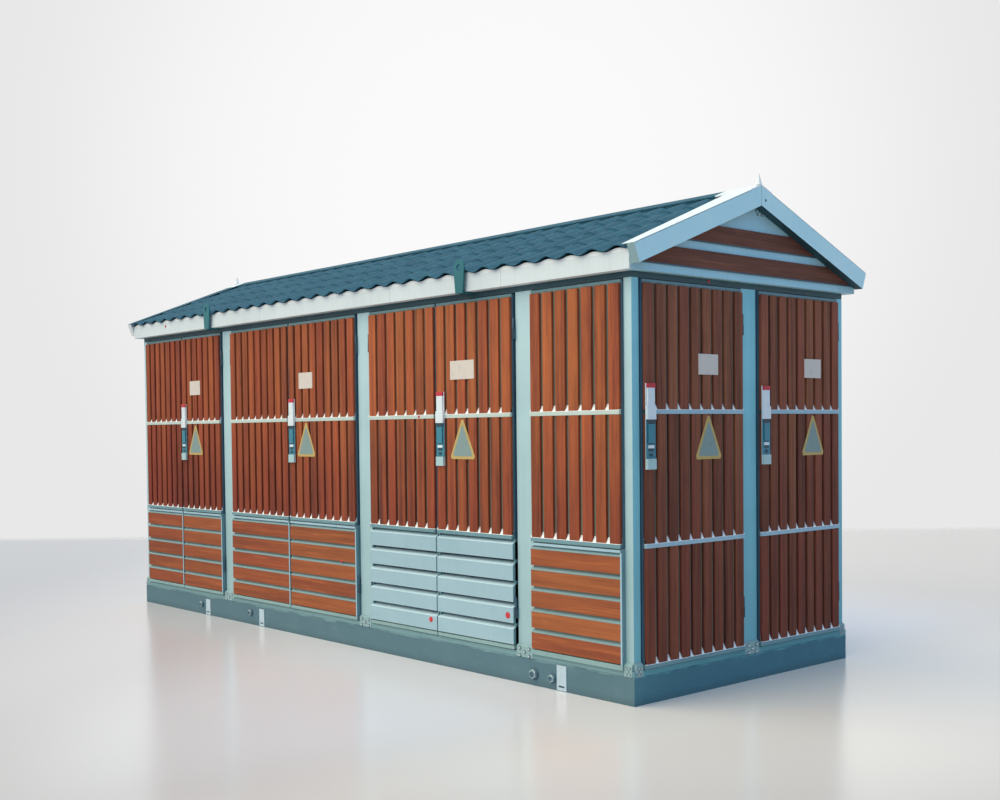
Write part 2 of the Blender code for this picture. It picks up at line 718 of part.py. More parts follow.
def build_roof_sheets(finish):
    """Corrugated tile-effect sheets: the stepped cross-section follows the waves along the ridge."""
    half = GABLE_FACE + GABLE_BOARD_PROUD
    waves = round(2 * half / WAVE_PITCH)
    columns = waves * WAVE_STEPS
    step = 2 * half / columns
    rise = WAVE_HEIGHT * SLOPE_STRETCH
    for side in ("front", "back"):
        sheet = bmesh.new()
        face = sheet.faces.new([sheet.verts.new((-half, y, z)) for y, z in sheet_outline()])
        height = 0.0
        for column in range(1, columns + 1):
            phase = 2 * math.pi * column / WAVE_STEPS
            level = rise * (1 - math.cos(phase)) / 2
            grown = bmesh.ops.extrude_face_region(sheet, geom=[face])["geom"]
            moved = [item for item in grown if isinstance(item, bmesh.types.BMVert)]
            bmesh.ops.translate(sheet, verts=moved, vec=(step, 0.0, level - height))
            height = level
            if column > 1:
                bmesh.ops.delete(sheet, geom=[face], context="FACES_ONLY")
            face = next(item for item in grown if isinstance(item, bmesh.types.BMFace))
        bmesh.ops.recalc_face_normals(sheet, faces=sheet.faces)
        turn = SIDES[side][0]
        place_solid("roof_sheet_" + side, sheet, finish, Matrix.Rotation(math.radians(turn), 4, "Z"))


def build_ridge(finish):
    """A folded ridge cap, and a pointed finial that sits on it at each end."""
    base = CREST_RIDGE + SEAT * SLOPE_STRETCH
    drop = RIDGE_HALF_WIDTH * ROOF_SLOPE
    thickness = RIDGE_THICKNESS * SLOPE_STRETCH
    outline = [
        (0.0, base),
        (RIDGE_HALF_WIDTH, base - drop),
        (RIDGE_HALF_WIDTH, base - drop + thickness),
        (0.0, base + thickness),
        (-RIDGE_HALF_WIDTH, base - drop + thickness),
        (-RIDGE_HALF_WIDTH, base - drop),
    ]
    half = BARGE_BACK + BARGE_THICKNESS
    place_solid("ridge_cap", sweep(outline, "x", -half, half), finish, Matrix.Identity(4))
    place = half - FINIAL_RADIUS
    low = base + thickness + SEAT
    for side, x in (("left", -place), ("right", place)):
        pin = rod(x, 0.0, (low, low + FINIAL_HEIGHT), FINIAL_RADIUS, FINIAL_SIDES, tip=FINIAL_RADIUS / 8)
        place_solid("finial_" + side, pin, finish, Matrix.Identity(4))


def build_lugs(finish):
    """Lifting lugs: a tapered plate with an eye in front of the eave, on a foot that reaches the header."""
    plate_back = BODY_WIDTH / 2 - FASCIA_FACE - EAVE_DROP - SEAT
    foot_low = FASCIA_BOTTOM - SEAT - LUG_THICKNESS
    centre = LUG_TOP - LUG_HEAD_HALF
    outline = [(-LUG_FOOT_HALF, foot_low), (LUG_FOOT_HALF, foot_low)]
    for index in range(LUG_ARC_STEPS + 1):
        angle = math.pi * index / LUG_ARC_STEPS
        outline.append((LUG_HEAD_HALF * math.cos(angle), centre + LUG_HEAD_HALF * math.sin(angle)))
    for side in ("front", "back"):
        for number, x in enumerate((-LUG_PLACE, LUG_PLACE), start=1):
            shifted = [(x + a, b) for a, b in outline]
            plate = sweep(shifted, "y", plate_back - LUG_THICKNESS, plate_back)
            foot = block(
                (x - LUG_FOOT_HALF + OVERLAP, x + LUG_FOOT_HALF - OVERLAP),
                (plate_back - OVERLAP, -SEAT),
                (foot_low + SEAT, FASCIA_BOTTOM - SEAT),
            )
            eye = bmesh.new()
            turn = Matrix.Translation((x, plate_back, centre)) @ Matrix.Rotation(math.pi / 2, 4, "X")
            bmesh.ops.create_cone(
                eye,
                cap_ends=True,
                segments=2 * LUG_ARC_STEPS,
                radius1=LUG_EYE_RADIUS,
                radius2=LUG_EYE_RADIUS,
                depth=4 * LUG_THICKNESS,
                matrix=turn,
            )
            name = "lifting_lug_" + side + "_" + str(number)
            combine(name, [plate, foot], finish, side_frame(side), cuts=[eye])


def main():
    clear_scene()
    post_paint = make_material("post_paint", (0.52, 0.66, 0.70), 0.45)
    frame_paint = make_material("frame_paint", (0.10, 0.20, 0.25), 0.5)
    white_paint = make_material("white_paint", (0.80, 0.85, 0.86), 0.4)
    blue_paint = make_material("barge_paint", (0.36, 0.58, 0.72), 0.45)
    wood = make_material("slat_wood", (0.34, 0.105, 0.045), 0.6)
    tile = make_material("roof_tile", (0.06, 0.16, 0.21), 0.5)
    plinth_paint = make_material("plinth_paint", (0.11, 0.20, 0.23), 0.7)
    floor_steel = make_material("floor_steel", (0.25, 0.27, 0.28), 0.6, 0.5)
    lock_paint = make_material("lock_paint", (0.72, 0.78, 0.82), 0.4)
    lug_paint = make_material("lug_paint", (0.05, 0.24, 0.27), 0.45)

    build_plinth(plinth_paint)
    build_floor(floor_steel)
    build_corners(post_paint)
    build_front(post_paint, wood, lock_paint)
    build_right_end(post_paint, wood, lock_paint)
    build_hidden_sides(post_paint, wood)
    build_headers(frame_paint)
    build_fascias(white_paint)
    build_gables(blue_paint)
    build_barges(blue_paint)
    build_roof_sheets(tile)
    build_ridge(white_paint)
    build_lugs(lug_paint)


main()
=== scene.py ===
"""Compact substation housing: slatted leaves and panels, tiled roof and fittings, in a plain studio.

Metres, +Z up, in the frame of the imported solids. Each wall is drawn in its side frame: x runs to the right
for someone who faces the wall from outside, y runs inwards from the face of the posts, and z is up.
"""

import logging
import math
from dataclasses import dataclass, field
from enum import Enum
from typing import Callable

import bmesh
import bpy
from mathutils import Matrix, Vector


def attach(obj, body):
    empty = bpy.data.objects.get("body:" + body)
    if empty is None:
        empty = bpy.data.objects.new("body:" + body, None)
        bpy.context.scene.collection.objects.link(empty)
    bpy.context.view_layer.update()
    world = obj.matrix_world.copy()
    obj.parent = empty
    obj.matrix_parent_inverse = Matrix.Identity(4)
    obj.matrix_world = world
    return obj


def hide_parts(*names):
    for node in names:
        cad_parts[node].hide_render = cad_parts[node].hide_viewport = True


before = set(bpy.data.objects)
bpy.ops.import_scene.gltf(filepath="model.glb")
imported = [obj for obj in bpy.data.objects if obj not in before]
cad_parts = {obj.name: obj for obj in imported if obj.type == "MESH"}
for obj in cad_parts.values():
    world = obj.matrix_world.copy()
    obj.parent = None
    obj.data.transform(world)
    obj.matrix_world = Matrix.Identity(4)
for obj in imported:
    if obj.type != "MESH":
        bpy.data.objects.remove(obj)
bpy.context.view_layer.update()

LOG = logging.getLogger("substation")
HOUSING = "housing"
GAP = 0.0003  # parts two pieces that touch

Rgb = tuple[float, float, float]
Pair = tuple[float, float]
Triple = tuple[float, float, float]


def tone(red: int, green: int, blue: int) -> Rgb:
    """Turn a display colour (0 to 255) into linear light.

    Args:
        red, green, blue: the display values.

    Returns:
        The linear colour.
    """
    def linear(value: int) -> float:
        share = value / 255
        return share / 12.92 if share <= 0.04045 else ((share + 0.055) / 1.055) ** 2.4
    return linear(red), linear(green), linear(blue)


def scaled(colour: Rgb, share: float) -> Rgb:
    """Darken or brighten a colour, no further than full light."""
    return tuple(min(1.0, part * share) for part in colour)


class Side(Enum):
    """The four walls: the turn of a side frame about +Z and its distance from the middle."""

    FRONT = (0.0, 1.074)
    RIGHT = (90.0, 3.044)
    BACK = (180.0, 1.074)
    LEFT = (270.0, 3.044)

    @property
    def matrix(self) -> Matrix:
        """The matrix that carries this side frame into the world."""
        turn, distance = self.value
        return Matrix.Rotation(math.radians(turn), 4, "Z") @ Matrix.Translation((0.0, -distance, 0.0))

    @property
    def is_end(self) -> bool:
        """Whether it is one of the two short walls."""
        return self in (Side.RIGHT, Side.LEFT)


class Lower(Enum):
    """What fills the lowest section of a leaf or panel."""

    SLATS = "slats"
    BOARDS = "boards"
    HOODS = "hoods"


class Grain(Enum):
    """The direction that wood grain runs in, as stretch factors of the pattern."""

    ALONG_X = (0.9, 38.0, 38.0)
    ALONG_Y = (38.0, 0.9, 38.0)
    ALONG_Z = (38.0, 38.0, 0.9)


# ---- Node helpers


def operator(operation: str, flipped: bool = False) -> Callable[["Signal", "Signal | float"], "Signal"]:
    """Make a Signal's method for one Python operator.

    Args:
        operation: the Math node's operation.
        flipped: whether the other value comes first.

    Returns:
        The method.
    """
    def method(self: "Signal", other: "Signal | float") -> "Signal":
        return self.math(operation, *((other, self) if flipped else (self, other)))
    return method


class Signal:
    """A number in a node tree. Python operators on it add the Math nodes."""

    __add__, __radd__ = operator("ADD"), operator("ADD", True)
    __sub__, __rsub__ = operator("SUBTRACT"), operator("SUBTRACT", True)
    __mul__, __truediv__ = operator("MULTIPLY"), operator("DIVIDE")
    __gt__, __lt__ = operator("GREATER_THAN"), operator("LESS_THAN")
    low, high = operator("MINIMUM"), operator("MAXIMUM")

    def __init__(self, canvas: "Canvas", socket: bpy.types.NodeSocket) -> None:
        """Wrap a socket of the canvas's tree."""
        self.canvas = canvas
        self.socket = socket

    def __abs__(self) -> "Signal":
        """The value without its sign."""
        return self.math("ABSOLUTE")

    def math(self, operation: str, *values: "Signal | float") -> "Signal":
        """Add one Math node.

        Args:
            operation: the node's operation.
            values: its inputs, in order; this signal alone when there are none.

        Returns:
            The node's result.
        """
        sockets = dict(enumerate(values or (self,)))
        made = self.canvas.node("ShaderNodeMath", {"operation": operation}, sockets)
        return Signal(self.canvas, made.outputs[0])

    def ramp(self, start: float, end: float) -> "Signal":
        """Rise smoothly from 0 at start to 1 at end.

        Args:
            start: the value that gives 0.
            end: the value that gives 1.

        Returns:
            The smooth step.
        """
        made = self.canvas.node(
            "ShaderNodeMapRange",
            {"interpolation_type": "SMOOTHSTEP"},
            {"Value": self, "From Min": start, "From Max": end, "To Min": 0.0, "To Max": 1.0},
        )
        return Signal(self.canvas, made.outputs[0])


class Canvas:
    """A node tree that is being drawn."""

    def __init__(self, tree: bpy.types.NodeTree) -> None:
        """Draw in the given tree."""
        self.tree = tree

    @staticmethod
    def pick(sockets: bpy.types.NodeInputs, key: str | int) -> bpy.types.NodeSocket:
        """Find a socket by index, or by name among those in use.

        Args:
            sockets: a node's inputs or outputs.
            key: the index or the name.

        Returns:
            The socket.
        """
        if isinstance(key, int):
            return sockets[key]
        named = [socket for socket in sockets if socket.name == key]
        return next((socket for socket in named if socket.enabled), named[0])

    def node(self, kind: str, settings: dict | None = None, sockets: dict | None = None) -> bpy.types.Node:
        """Add one node.

        Args:
            kind: the node's type.
            settings: its settings, set first; "stops" holds a ramp's (place, colour) pairs.
            sockets: the values or links of its inputs.

        Returns:
            The new node.
        """
        made = self.tree.nodes.new(kind)
        for name, value in (settings or {}).items():
            if name == "stops":
                band = made.color_ramp.elements
                while len(band) < len(value):
                    band.new(0.5)
                for stop, (place, colour) in zip(band, value):
                    stop.position = place
                    stop.color = (*colour, 1.0)
            else:
                setattr(made, name, value)
        for key, value in (sockets or {}).items():
            socket = self.pick(made.inputs, key)
            if isinstance(value, Signal):
                value = value.socket
            if isinstance(value, bpy.types.NodeSocket):
                self.tree.links.new(value, socket)
            elif isinstance(value, tuple) and len(value) == 3 and socket.type == "RGBA":
                socket.default_value = (*value, 1.0)
            else:
                socket.default_value = value
        return made

    def place(self) -> bpy.types.NodeSocket:
        """The point's own place on the object."""
        return self.node("ShaderNodeTexCoord").outputs["Object"]

    def normal(self) -> tuple[Signal, Signal, Signal]:
        """The way the surface faces, in the object's own frame."""
        return self.parts(self.node("ShaderNodeTexCoord").outputs["Normal"])

    def facing_ends(self) -> Signal:
        """1 on the faces that look along x, as the end walls do, and 0 on those that look along y or z."""
        return abs(self.normal()[0]).ramp(0.4, 0.8)

    def parts(self, vector: bpy.types.NodeSocket) -> tuple[Signal, Signal, Signal]:
        """Split a vector into its three numbers."""
        made = self.node("ShaderNodeSeparateXYZ", {}, {0: vector})
        return tuple(Signal(self, socket) for socket in made.outputs)

    def vector(self, operation: str, first: object, second: object) -> bpy.types.NodeSocket:
        """Add one Vector Math node.

        Args:
            operation: the node's operation.
            first, second: its inputs.

        Returns:
            The vector result.
        """
        return self.node("ShaderNodeVectorMath", {"operation": operation}, {0: first, 1: second}).outputs[0]

    def noise(
        self, place: object, scale: float, detail: float = 3.0, roughness: float = 0.55,
        stretch: Triple | None = None,
    ) -> Signal:
        """Cloudy noise around 0.5.

        Args:
            place: where the noise is read.
            scale: how many features to a metre.
            detail: how many finer layers are added.
            roughness: the weight of the finer layers.
            stretch: what the place is multiplied by first.

        Returns:
            The noise value.
        """
        if stretch is not None:
            place = self.vector("MULTIPLY", place, stretch)
        sockets = {"Vector": place, "Scale": scale, "Detail": detail, "Roughness": roughness}
        return Signal(self, self.node("ShaderNodeTexNoise", {}, sockets).outputs[0])

    def mix(self, share: object, first: object, second: object, blend: str = "MIX") -> bpy.types.NodeSocket:
        """Mix two colours.

        Args:
            share: how much of the second colour shows.
            first, second: the colours.
            blend: the blend type.

        Returns:
            The mixed colour.
        """
        settings = {"data_type": "RGBA", "blend_type": blend}
        first, second = (((*part, 1.0) if isinstance(part, tuple) else part) for part in (first, second))
        return self.node("ShaderNodeMix", settings, {0: share, 6: first, 7: second}).outputs[2]

    def surface(
        self, colour: object, roughness: object, height: Signal | None = None, depth: float = 0.001,
        constants: dict | None = None,
    ) -> None:
        """End a material in a Principled shader.

        Args:
            colour: the base colour.
            roughness: the roughness.
            height: the bump's height, if there is one.
            depth: how far the bump reaches, in metres.
            constants: further sockets with their plain values.
        """
        sockets = {"Base Color": colour, "Roughness": roughness, **(constants or {})}
        if height is not None:
            bump = self.node("ShaderNodeBump", {}, {"Height": height, "Distance": depth, "Strength": 1.0})
            sockets["Normal"] = bump.outputs[0]
        shader = self.node("ShaderNodeBsdfPrincipled", {}, sockets)
        self.node("ShaderNodeOutputMaterial", {}, {"Surface": shader.outputs[0]})


# ---- Finishes


@dataclass(frozen=True)
class Finish:
    """A surface finish. Its material is made once and shared by every piece that wears it."""

    name: str
    slot: str

    def material(self) -> bpy.types.Material:
        """Return the material, and make it on first use."""
        made = bpy.data.materials.get(self.name)
        if made is None:
            made = bpy.data.materials.new(self.name)
            made.use_nodes = True
            made.node_tree.nodes.clear()
            self.paint(Canvas(made.node_tree))
        return made

    def paint(self, canvas: Canvas) -> None:
        """Draw the material's nodes; each finish has its own."""
        raise NotImplementedError


@dataclass(frozen=True)
class PaintFinish(Finish):
    """Weathered coating on sheet steel: cloudy tone, faint run-off streaks, and dirt near the ground."""

    colour: Rgb = (0.5, 0.5, 0.5)
    worn: Rgb = (0.4, 0.4, 0.4)
    low: Rgb | None = None
    low_reach: float = 1.6
    roughness: float = 0.42
    streaks: float = 0.35

    def marks(self, canvas: Canvas, place: bpy.types.NodeSocket, colour: bpy.types.NodeSocket) -> object:
        """Add what one coating shows besides the clouds; a plain one shows nothing more.

        Args:
            canvas: the tree.
            place: the point's own place.
            colour: the coating's colour so far.

        Returns:
            The colour with the marks.
        """
        return colour

    def paint(self, canvas: Canvas) -> None:
        """Draw the coating."""
        place = canvas.place()
        height = canvas.parts(place)[2]
        clouds = canvas.noise(place, 2.3, 4.0)
        runs = canvas.noise(place, 1.0, stretch=(34.0, 34.0, 1.1))
        share = clouds.ramp(0.38, 0.72) * 0.55 + runs.ramp(0.45, 0.75) * self.streaks
        colour = canvas.mix(share.low(1.0), self.colour, self.worn)
        if self.low is not None:
            drop = (1.0 - height.ramp(0.15, self.low_reach)) * (0.75 + clouds * 0.5)
            colour = canvas.mix(drop.low(1.0), colour, self.low)
        specks = canvas.noise(place, 95.0, 2.0).ramp(0.68, 0.78) * 0.22
        colour = canvas.mix(specks, colour, scaled(self.worn, 0.45))
        colour = self.marks(canvas, place, colour)
        peel = canvas.noise(place, 320.0, 2.0)
        canvas.surface(colour, self.roughness + clouds * 0.16, peel, 0.0004)


@dataclass(frozen=True)
class PostFinish(PaintFinish):
    """The posts' coating: darker and cooler on the end walls, as painted shade, with dark knuckles where
    steel stands proud.
    """

    knuckle: Rgb = (0.02, 0.05, 0.08)
    faces: Pair = (3.047, 1.077)
    # painted shade: the tint of the faces that look along x, as the shaded end walls do
    end_tint: Rgb = (0.56, 0.97, 1.05)

    def marks(self, canvas: Canvas, place: bpy.types.NodeSocket, colour: bpy.types.NodeSocket) -> object:
        """Paint the end walls' shade into the coating as a darker, cooler tint, and darken what lies outside
        the posts' faces.
        """
        along, across, _ = canvas.parts(place)
        # painted shade on the faces of the end walls
        colour = canvas.mix(canvas.facing_ends(), colour, self.end_tint, "MULTIPLY")
        proud = (abs(along) > self.faces[0]).high(abs(across) > self.faces[1])
        return canvas.mix(proud, colour, self.knuckle)


@dataclass(frozen=True)
class BargeFinish(PaintFinish):
    """The barge boards' coating: painted shade on the undersides and the cut faces, and a dark joint and a
    screw at the peak.
    """

    # the colour of the painted shade on undersides and cut faces, and of the joint and the screw
    under: Rgb = (0.01, 0.06, 0.07)
    cover: Rgb = (0.85, 0.87, 0.87)
    joint: float = 0.0014
    screw: Triple = (0.042, 2.999, 0.0090)
    tip: float = 1.095
    cut_share: float = 0.55

    def marks(self, canvas: Canvas, place: bpy.types.NodeSocket, colour: bpy.types.NodeSocket) -> object:
        """Add the painted shade of the undersides and cut faces, the joint, the screw and the white cover on
        the ends of the left boards.
        """
        normal = canvas.normal()
        along, across, height = canvas.parts(place)
        off = across - self.screw[0]
        rise = height - self.screw[1]
        reach = (off * off + rise * rise).math("SQRT")
        # painted shade on the undersides and, on the right boards, the cut faces; the joint and the screw are
        # real marks
        dark = (normal[2] < -0.5).high(abs(across) < self.joint).high(reach < self.screw[2])
        cut = (abs(normal[1]) > 0.8) * (along > 0.0) * self.cut_share
        colour = canvas.mix(dark.high(cut), colour, self.under)
        return canvas.mix((abs(across) > self.tip) * (along < 0.0), colour, self.cover)


@dataclass(frozen=True)
class WoodFinish(Finish):
    """Oiled wood-look boards: streaky grain in a tone that differs board by board and deepens downwards, with
    a painted highlight where a sheen is given.
    """

    grain: Grain = Grain.ALONG_Z
    pale: Rgb = (0.5, 0.2, 0.1)
    middle: Rgb = (0.4, 0.15, 0.07)
    dark: Rgb = (0.3, 0.1, 0.05)
    sheen: float = 0.0
    low_tint: Rgb = (1.0, 1.0, 1.0)
    low_span: Pair = (0.9, 2.1)
    # far_tint, far_span: a darker tint towards the left end of the walls, and the span over which it fades
    # out
    far_tint: Rgb = (0.76, 0.60, 0.66)
    far_span: Pair = (-3.2, 2.2)
    board_tint: Rgb = (1.0, 0.78, 0.92)

    def paint(self, canvas: Canvas) -> None:
        """Draw the wood."""
        board = Signal(canvas, canvas.node("ShaderNodeAttribute", {"attribute_name": "tone"}).outputs["Fac"])
        shift = canvas.node("ShaderNodeCombineXYZ", {}, {0: board * 13.0, 1: board * 7.0, 2: board * 29.0})
        place = canvas.vector("ADD", canvas.place(), shift.outputs[0])
        bend = canvas.node(
            "ShaderNodeTexNoise", {}, {"Vector": place, "Scale": 2.6, "Detail": 2.0}
        ).outputs["Color"]
        bent = canvas.vector("ADD", place, canvas.vector("MULTIPLY", bend, (0.03, 0.03, 0.03)))
        figure = canvas.noise(bent, 0.8, 4.0, 0.6, self.grain.value)
        fibres = canvas.noise(bent, 5.0, 3.0, 0.6, self.grain.value)
        weather = canvas.noise(place, 3.1, 3.0)
        value = figure * 0.6 + fibres * 0.25 + weather * 0.15 + (board - 0.5) * 0.13
        stops = [(0.34, self.dark), (0.50, self.middle), (0.66, self.pale)]
        ramp = canvas.node("ShaderNodeValToRGB", {"stops": stops}, {0: value})
        pores = fibres.ramp(0.60, 0.72) * 0.30
        colour = canvas.mix(pores, ramp.outputs[0], scaled(self.dark, 0.55))
        warmth = (board * 5.3).math("FRACT") * 0.9
        colour = canvas.mix(warmth, colour, self.board_tint, "MULTIPLY")
        along, _, height = canvas.parts(canvas.place())
        lowered = 1.0 - height.ramp(*self.low_span)
        colour = canvas.mix(lowered, colour, self.low_tint, "MULTIPLY")
        # darker and redder towards the left end of the walls
        leftward_share = 1.0 - along.ramp(*self.far_span)
        colour = canvas.mix(leftward_share, colour, self.far_tint, "MULTIPLY")
        # painted highlight: pale bands along the grain stand in for the sheen of light on the oiled wood
        if self.sheen:
            bands = canvas.noise(bent, 1.6, 2.0, 0.4, self.grain.value)
            light = bands.ramp(0.58, 0.70) * self.sheen
            colour = canvas.mix(light, colour, scaled(self.pale, 1.9))
        canvas.surface(
            colour, 0.52 + figure * 0.2, figure * 0.5 + fibres * 0.5, 0.0012, {"Specular IOR Level": 0.25})


@dataclass(frozen=True)
class TileFinish(Finish):
    """Coated roof sheet: cloudy teal with darker patches and specks, and short dark dashes along the rows."""

    colour: Rgb = (0.05, 0.16, 0.22)
    dark: Rgb = (0.02, 0.06, 0.10)

    def tint(self, canvas: Canvas, place: bpy.types.NodeSocket, colour: bpy.types.NodeSocket) -> object:
        """Return the coating's last colour; a sheet's is the plain one."""
        return colour

    def paint(self, canvas: Canvas) -> None:
        """Draw the roof coating."""
        place = canvas.place()
        clouds = canvas.noise(place, 5.0, 4.0)
        specks = canvas.noise(place, 60.0, 2.0)
        dashes = canvas.noise(place, 1.0, 2.0, stretch=(14.0, 45.0, 45.0))
        share = clouds.ramp(0.35, 0.75) * 0.35 + specks.ramp(0.55, 0.75) * 0.2 + dashes.ramp(0.55, 0.68) * 0.5
        colour = self.tint(canvas, place, canvas.mix(share.low(1.0), self.colour, self.dark))
        canvas.surface(colour, 0.55 + clouds * 0.2, specks, 0.0006, {"Specular IOR Level": 0.25})


@dataclass(frozen=True)
class RidgeFinish(TileFinish):
    """The ridge cap's coating, white where the end flashings cover it."""

    cover: Rgb = (0.85, 0.87, 0.87)
    ends: Pair = (-3.0, 2.89)

    def tint(self, canvas: Canvas, place: bpy.types.NodeSocket, colour: bpy.types.NodeSocket) -> object:
        """Whiten both ends."""
        along = canvas.parts(place)[0]
        return canvas.mix((along < self.ends[0]).high(along > self.ends[1]), colour, self.cover)


@dataclass(frozen=True)
class PlinthFinish(Finish):
    """Painted concrete beam below a lighter sill band with a patchy lower edge; darker and cooler on the end
    walls, as painted shade.
    """

    beam: Rgb = (0.1, 0.2, 0.22)
    scuff: Rgb = (0.2, 0.3, 0.32)
    band: Rgb = (0.25, 0.38, 0.38)
    level: float = 0.165
    end_tint: Rgb = (0.66, 1.06, 1.12)

    def paint(self, canvas: Canvas) -> None:
        """Draw the beam and its band."""
        place = canvas.place()
        height = canvas.parts(place)[2]
        edge = canvas.noise(place, 6.0, 4.0, stretch=(1.0, 1.0, 1.6))
        clouds = canvas.noise(place, 4.0, 5.0, 0.6)
        scrapes = canvas.noise(place, 1.0, 4.0, stretch=(9.0, 9.0, 30.0))
        share = clouds.ramp(0.40, 0.75) * 0.5 + scrapes.ramp(0.56, 0.74) * 0.3
        body = canvas.mix(share, self.beam, self.scuff)
        line = (height + (edge - 0.5) * 0.05).ramp(self.level - 0.012, self.level + 0.004)
        band = canvas.mix(clouds.ramp(0.5, 0.8) * 0.4, self.band, self.scuff)
        colour = canvas.mix(line, body, band)
        # painted shade on the faces of the end walls
        colour = canvas.mix(canvas.facing_ends(), colour, self.end_tint, "MULTIPLY")
        damp = (1.0 - height.ramp(0.0, 0.06)) * (0.25 + clouds * 0.3)
        colour = canvas.mix(damp, colour, scaled(self.beam, 0.5))
        grit = canvas.noise(place, 140.0, 3.0)
        canvas.surface(colour, 0.62 + clouds * 0.2, grit * 0.7 + clouds, 0.0015)


@dataclass(frozen=True)
class ZincFinish(Finish):
    """Zinc-plated fixings with a little blotching."""

    colour: Rgb = (0.55, 0.6, 0.62)
    shine: float = 0.75

    def paint(self, canvas: Canvas) -> None:
        """Draw the plating."""
        blotches = canvas.noise(canvas.place(), 60.0, 3.0)
        colour = canvas.mix(blotches, self.colour, scaled(self.colour, 0.55))
        canvas.surface(colour, 0.28 + blotches * 0.25, blotches, 0.0003, {"Metallic": self.shine})


@dataclass(frozen=True)
class MouldedFinish(Finish):
    """Moulded plastic or enamel of a small fitting, with a fine grain."""

    colour: Rgb = (0.8, 0.8, 0.8)
    roughness: float = 0.35

    def paint(self, canvas: Canvas) -> None:
        """Draw the moulded surface."""
        place = canvas.place()
        soil = canvas.noise(place, 22.0, 3.0)
        colour = canvas.mix(soil.ramp(0.5, 0.8) * 0.3, self.colour, scaled(self.colour, 0.6))
        canvas.surface(colour, self.roughness + soil * 0.15, canvas.noise(place, 900.0, 1.0), 0.0002)


POST = PostFinish(
    "post_coating", "post_paint", tone(192, 220, 224), tone(174, 202, 208), tone(158, 188, 192), 2.2,
    knuckle=tone(42, 68, 84))
FOOT = PaintFinish("foot_coating", "post_paint", tone(142, 172, 174), tone(126, 156, 160))
PANEL = PaintFinish("panel_coating", "post_paint", tone(205, 216, 206), tone(185, 200, 192))
# white: the eave closures, and the drip slopes of the rails, whose white is partly a painted highlight of
# their lit tops
WHITE_AND_HIGHLIGHT = PaintFinish("drip_coating", "white_paint", tone(250, 250, 248), tone(236, 240, 238))
# painted shade: a bluer, darker copy of the panel coating for the end walls' rails and light edges, and the
# edging beside boards
PANEL_BLUE_AND_SHADE = PaintFinish("end_panel_coating", "post_paint", tone(168, 196, 208), tone(150, 182, 198))
# painted shade: the tray, darker than the rails, paints the shade in the grooves between slats
TRAY_SHADE = PaintFinish("tray_coating", "post_paint", tone(122, 130, 118), tone(98, 106, 98))
# dark trim, and painted shade: the shaded edges of the leaves, the strips under the gable boards, the stubs'
# ends and round the screw heads
DARK_TRIM_AND_SHADE = PaintFinish("edge_coating", "frame_paint", tone(56, 90, 110), tone(42, 72, 90))
SILL = PaintFinish("sill_coating", "post_paint", tone(140, 170, 168), tone(124, 154, 154))
HOOD = PaintFinish("hood_coating", "post_paint", tone(160, 188, 198), tone(146, 178, 188), streaks=0.2)
# painted highlight: a lighter copy of the hood coating for the sloped tops
HOOD_HIGHLIGHT = PaintFinish(
    "hood_top_coating", "post_paint", tone(205, 228, 235), tone(188, 214, 222), streaks=0.2)
HEADER = PaintFinish("header_coating", "frame_paint", tone(42, 84, 96), tone(32, 70, 82))
FASCIA = PaintFinish("fascia_coating", "white_paint", tone(228, 234, 235), tone(212, 221, 222))
CAP = PaintFinish("cap_coating", "white_paint", tone(250, 250, 248), tone(236, 240, 238))
BARGE = BargeFinish(
    "barge_coating", "barge_paint", tone(214, 248, 252), tone(200, 242, 250), under=tone(24, 66, 74),
    cover=tone(240, 243, 242))
GABLE = PaintFinish("gable_coating", "barge_paint", tone(178, 222, 234), tone(160, 208, 222))
LUG = PaintFinish("lug_coating", "lug_paint", tone(20, 115, 125), tone(16, 92, 104))
STRIP = PaintFinish("strip_coating", "post_paint", tone(132, 160, 162), tone(114, 144, 148))
# painted shade: a darker, cooler copy of the panel coating for the eave's shade on the top strips, the shaded
# edges beside boards and hoods, the hoods' shaded ends and the end walls' foot rails; it also covers the
# middle rail beside boards and hoods
PANEL_DARK_AND_SHADE = PaintFinish("rail_coating", "post_paint", tone(112, 150, 158), tone(96, 134, 144))
ROOF = TileFinish("roof_coating", "roof_tile", tone(42, 97, 118), tone(20, 61, 85))
RIDGE = RidgeFinish("ridge_coating", "roof_tile", ROOF.colour, ROOF.dark, cover=tone(246, 248, 248))
PLINTH = PlinthFinish(
    "plinth_coating", "plinth_paint", tone(80, 112, 124), tone(97, 127, 136), tone(118, 152, 156))
FLOOR_STEEL = PaintFinish("floor_coating", "floor_steel", tone(120, 126, 128), tone(96, 102, 104))
FRONT_WOOD = WoodFinish(
    "wood_upright", "slat_wood", Grain.ALONG_Z, tone(201, 116, 62), tone(172, 95, 53), tone(122, 63, 42),
    low_tint=(0.64, 0.53, 0.66))
# painted shade: a darker copy of the upright wood for the slats of the end walls
SHADED_WOOD = WoodFinish(
    "wood_upright_end", "slat_wood", Grain.ALONG_Z, tone(165, 103, 71), tone(135, 82, 58), tone(94, 52, 40),
    low_tint=(0.64, 0.50, 0.53), low_span=(0.3, 2.3))
BOARD_WOOD = WoodFinish(
    "wood_level", "slat_wood", Grain.ALONG_X, tone(172, 100, 56), tone(156, 88, 49), tone(130, 70, 43), 0.14,
    far_tint=(0.88, 0.76, 0.78))
GABLE_WOOD = WoodFinish(
    "wood_gable", "slat_wood", Grain.ALONG_Y, tone(144, 92, 70), tone(122, 74, 58), tone(94, 56, 45), 0.12)
ZINC = ZincFinish("zinc_plating", "lock_paint", tone(215, 226, 230))
STUB = ZincFinish("stub_plating", "lock_paint", tone(168, 190, 196), 0.15)
CAP_RED = MouldedFinish("cap_red", "lock_paint", tone(206, 44, 52))
LOCK_WHITE = MouldedFinish("lock_white", "lock_paint", tone(232, 238, 240))
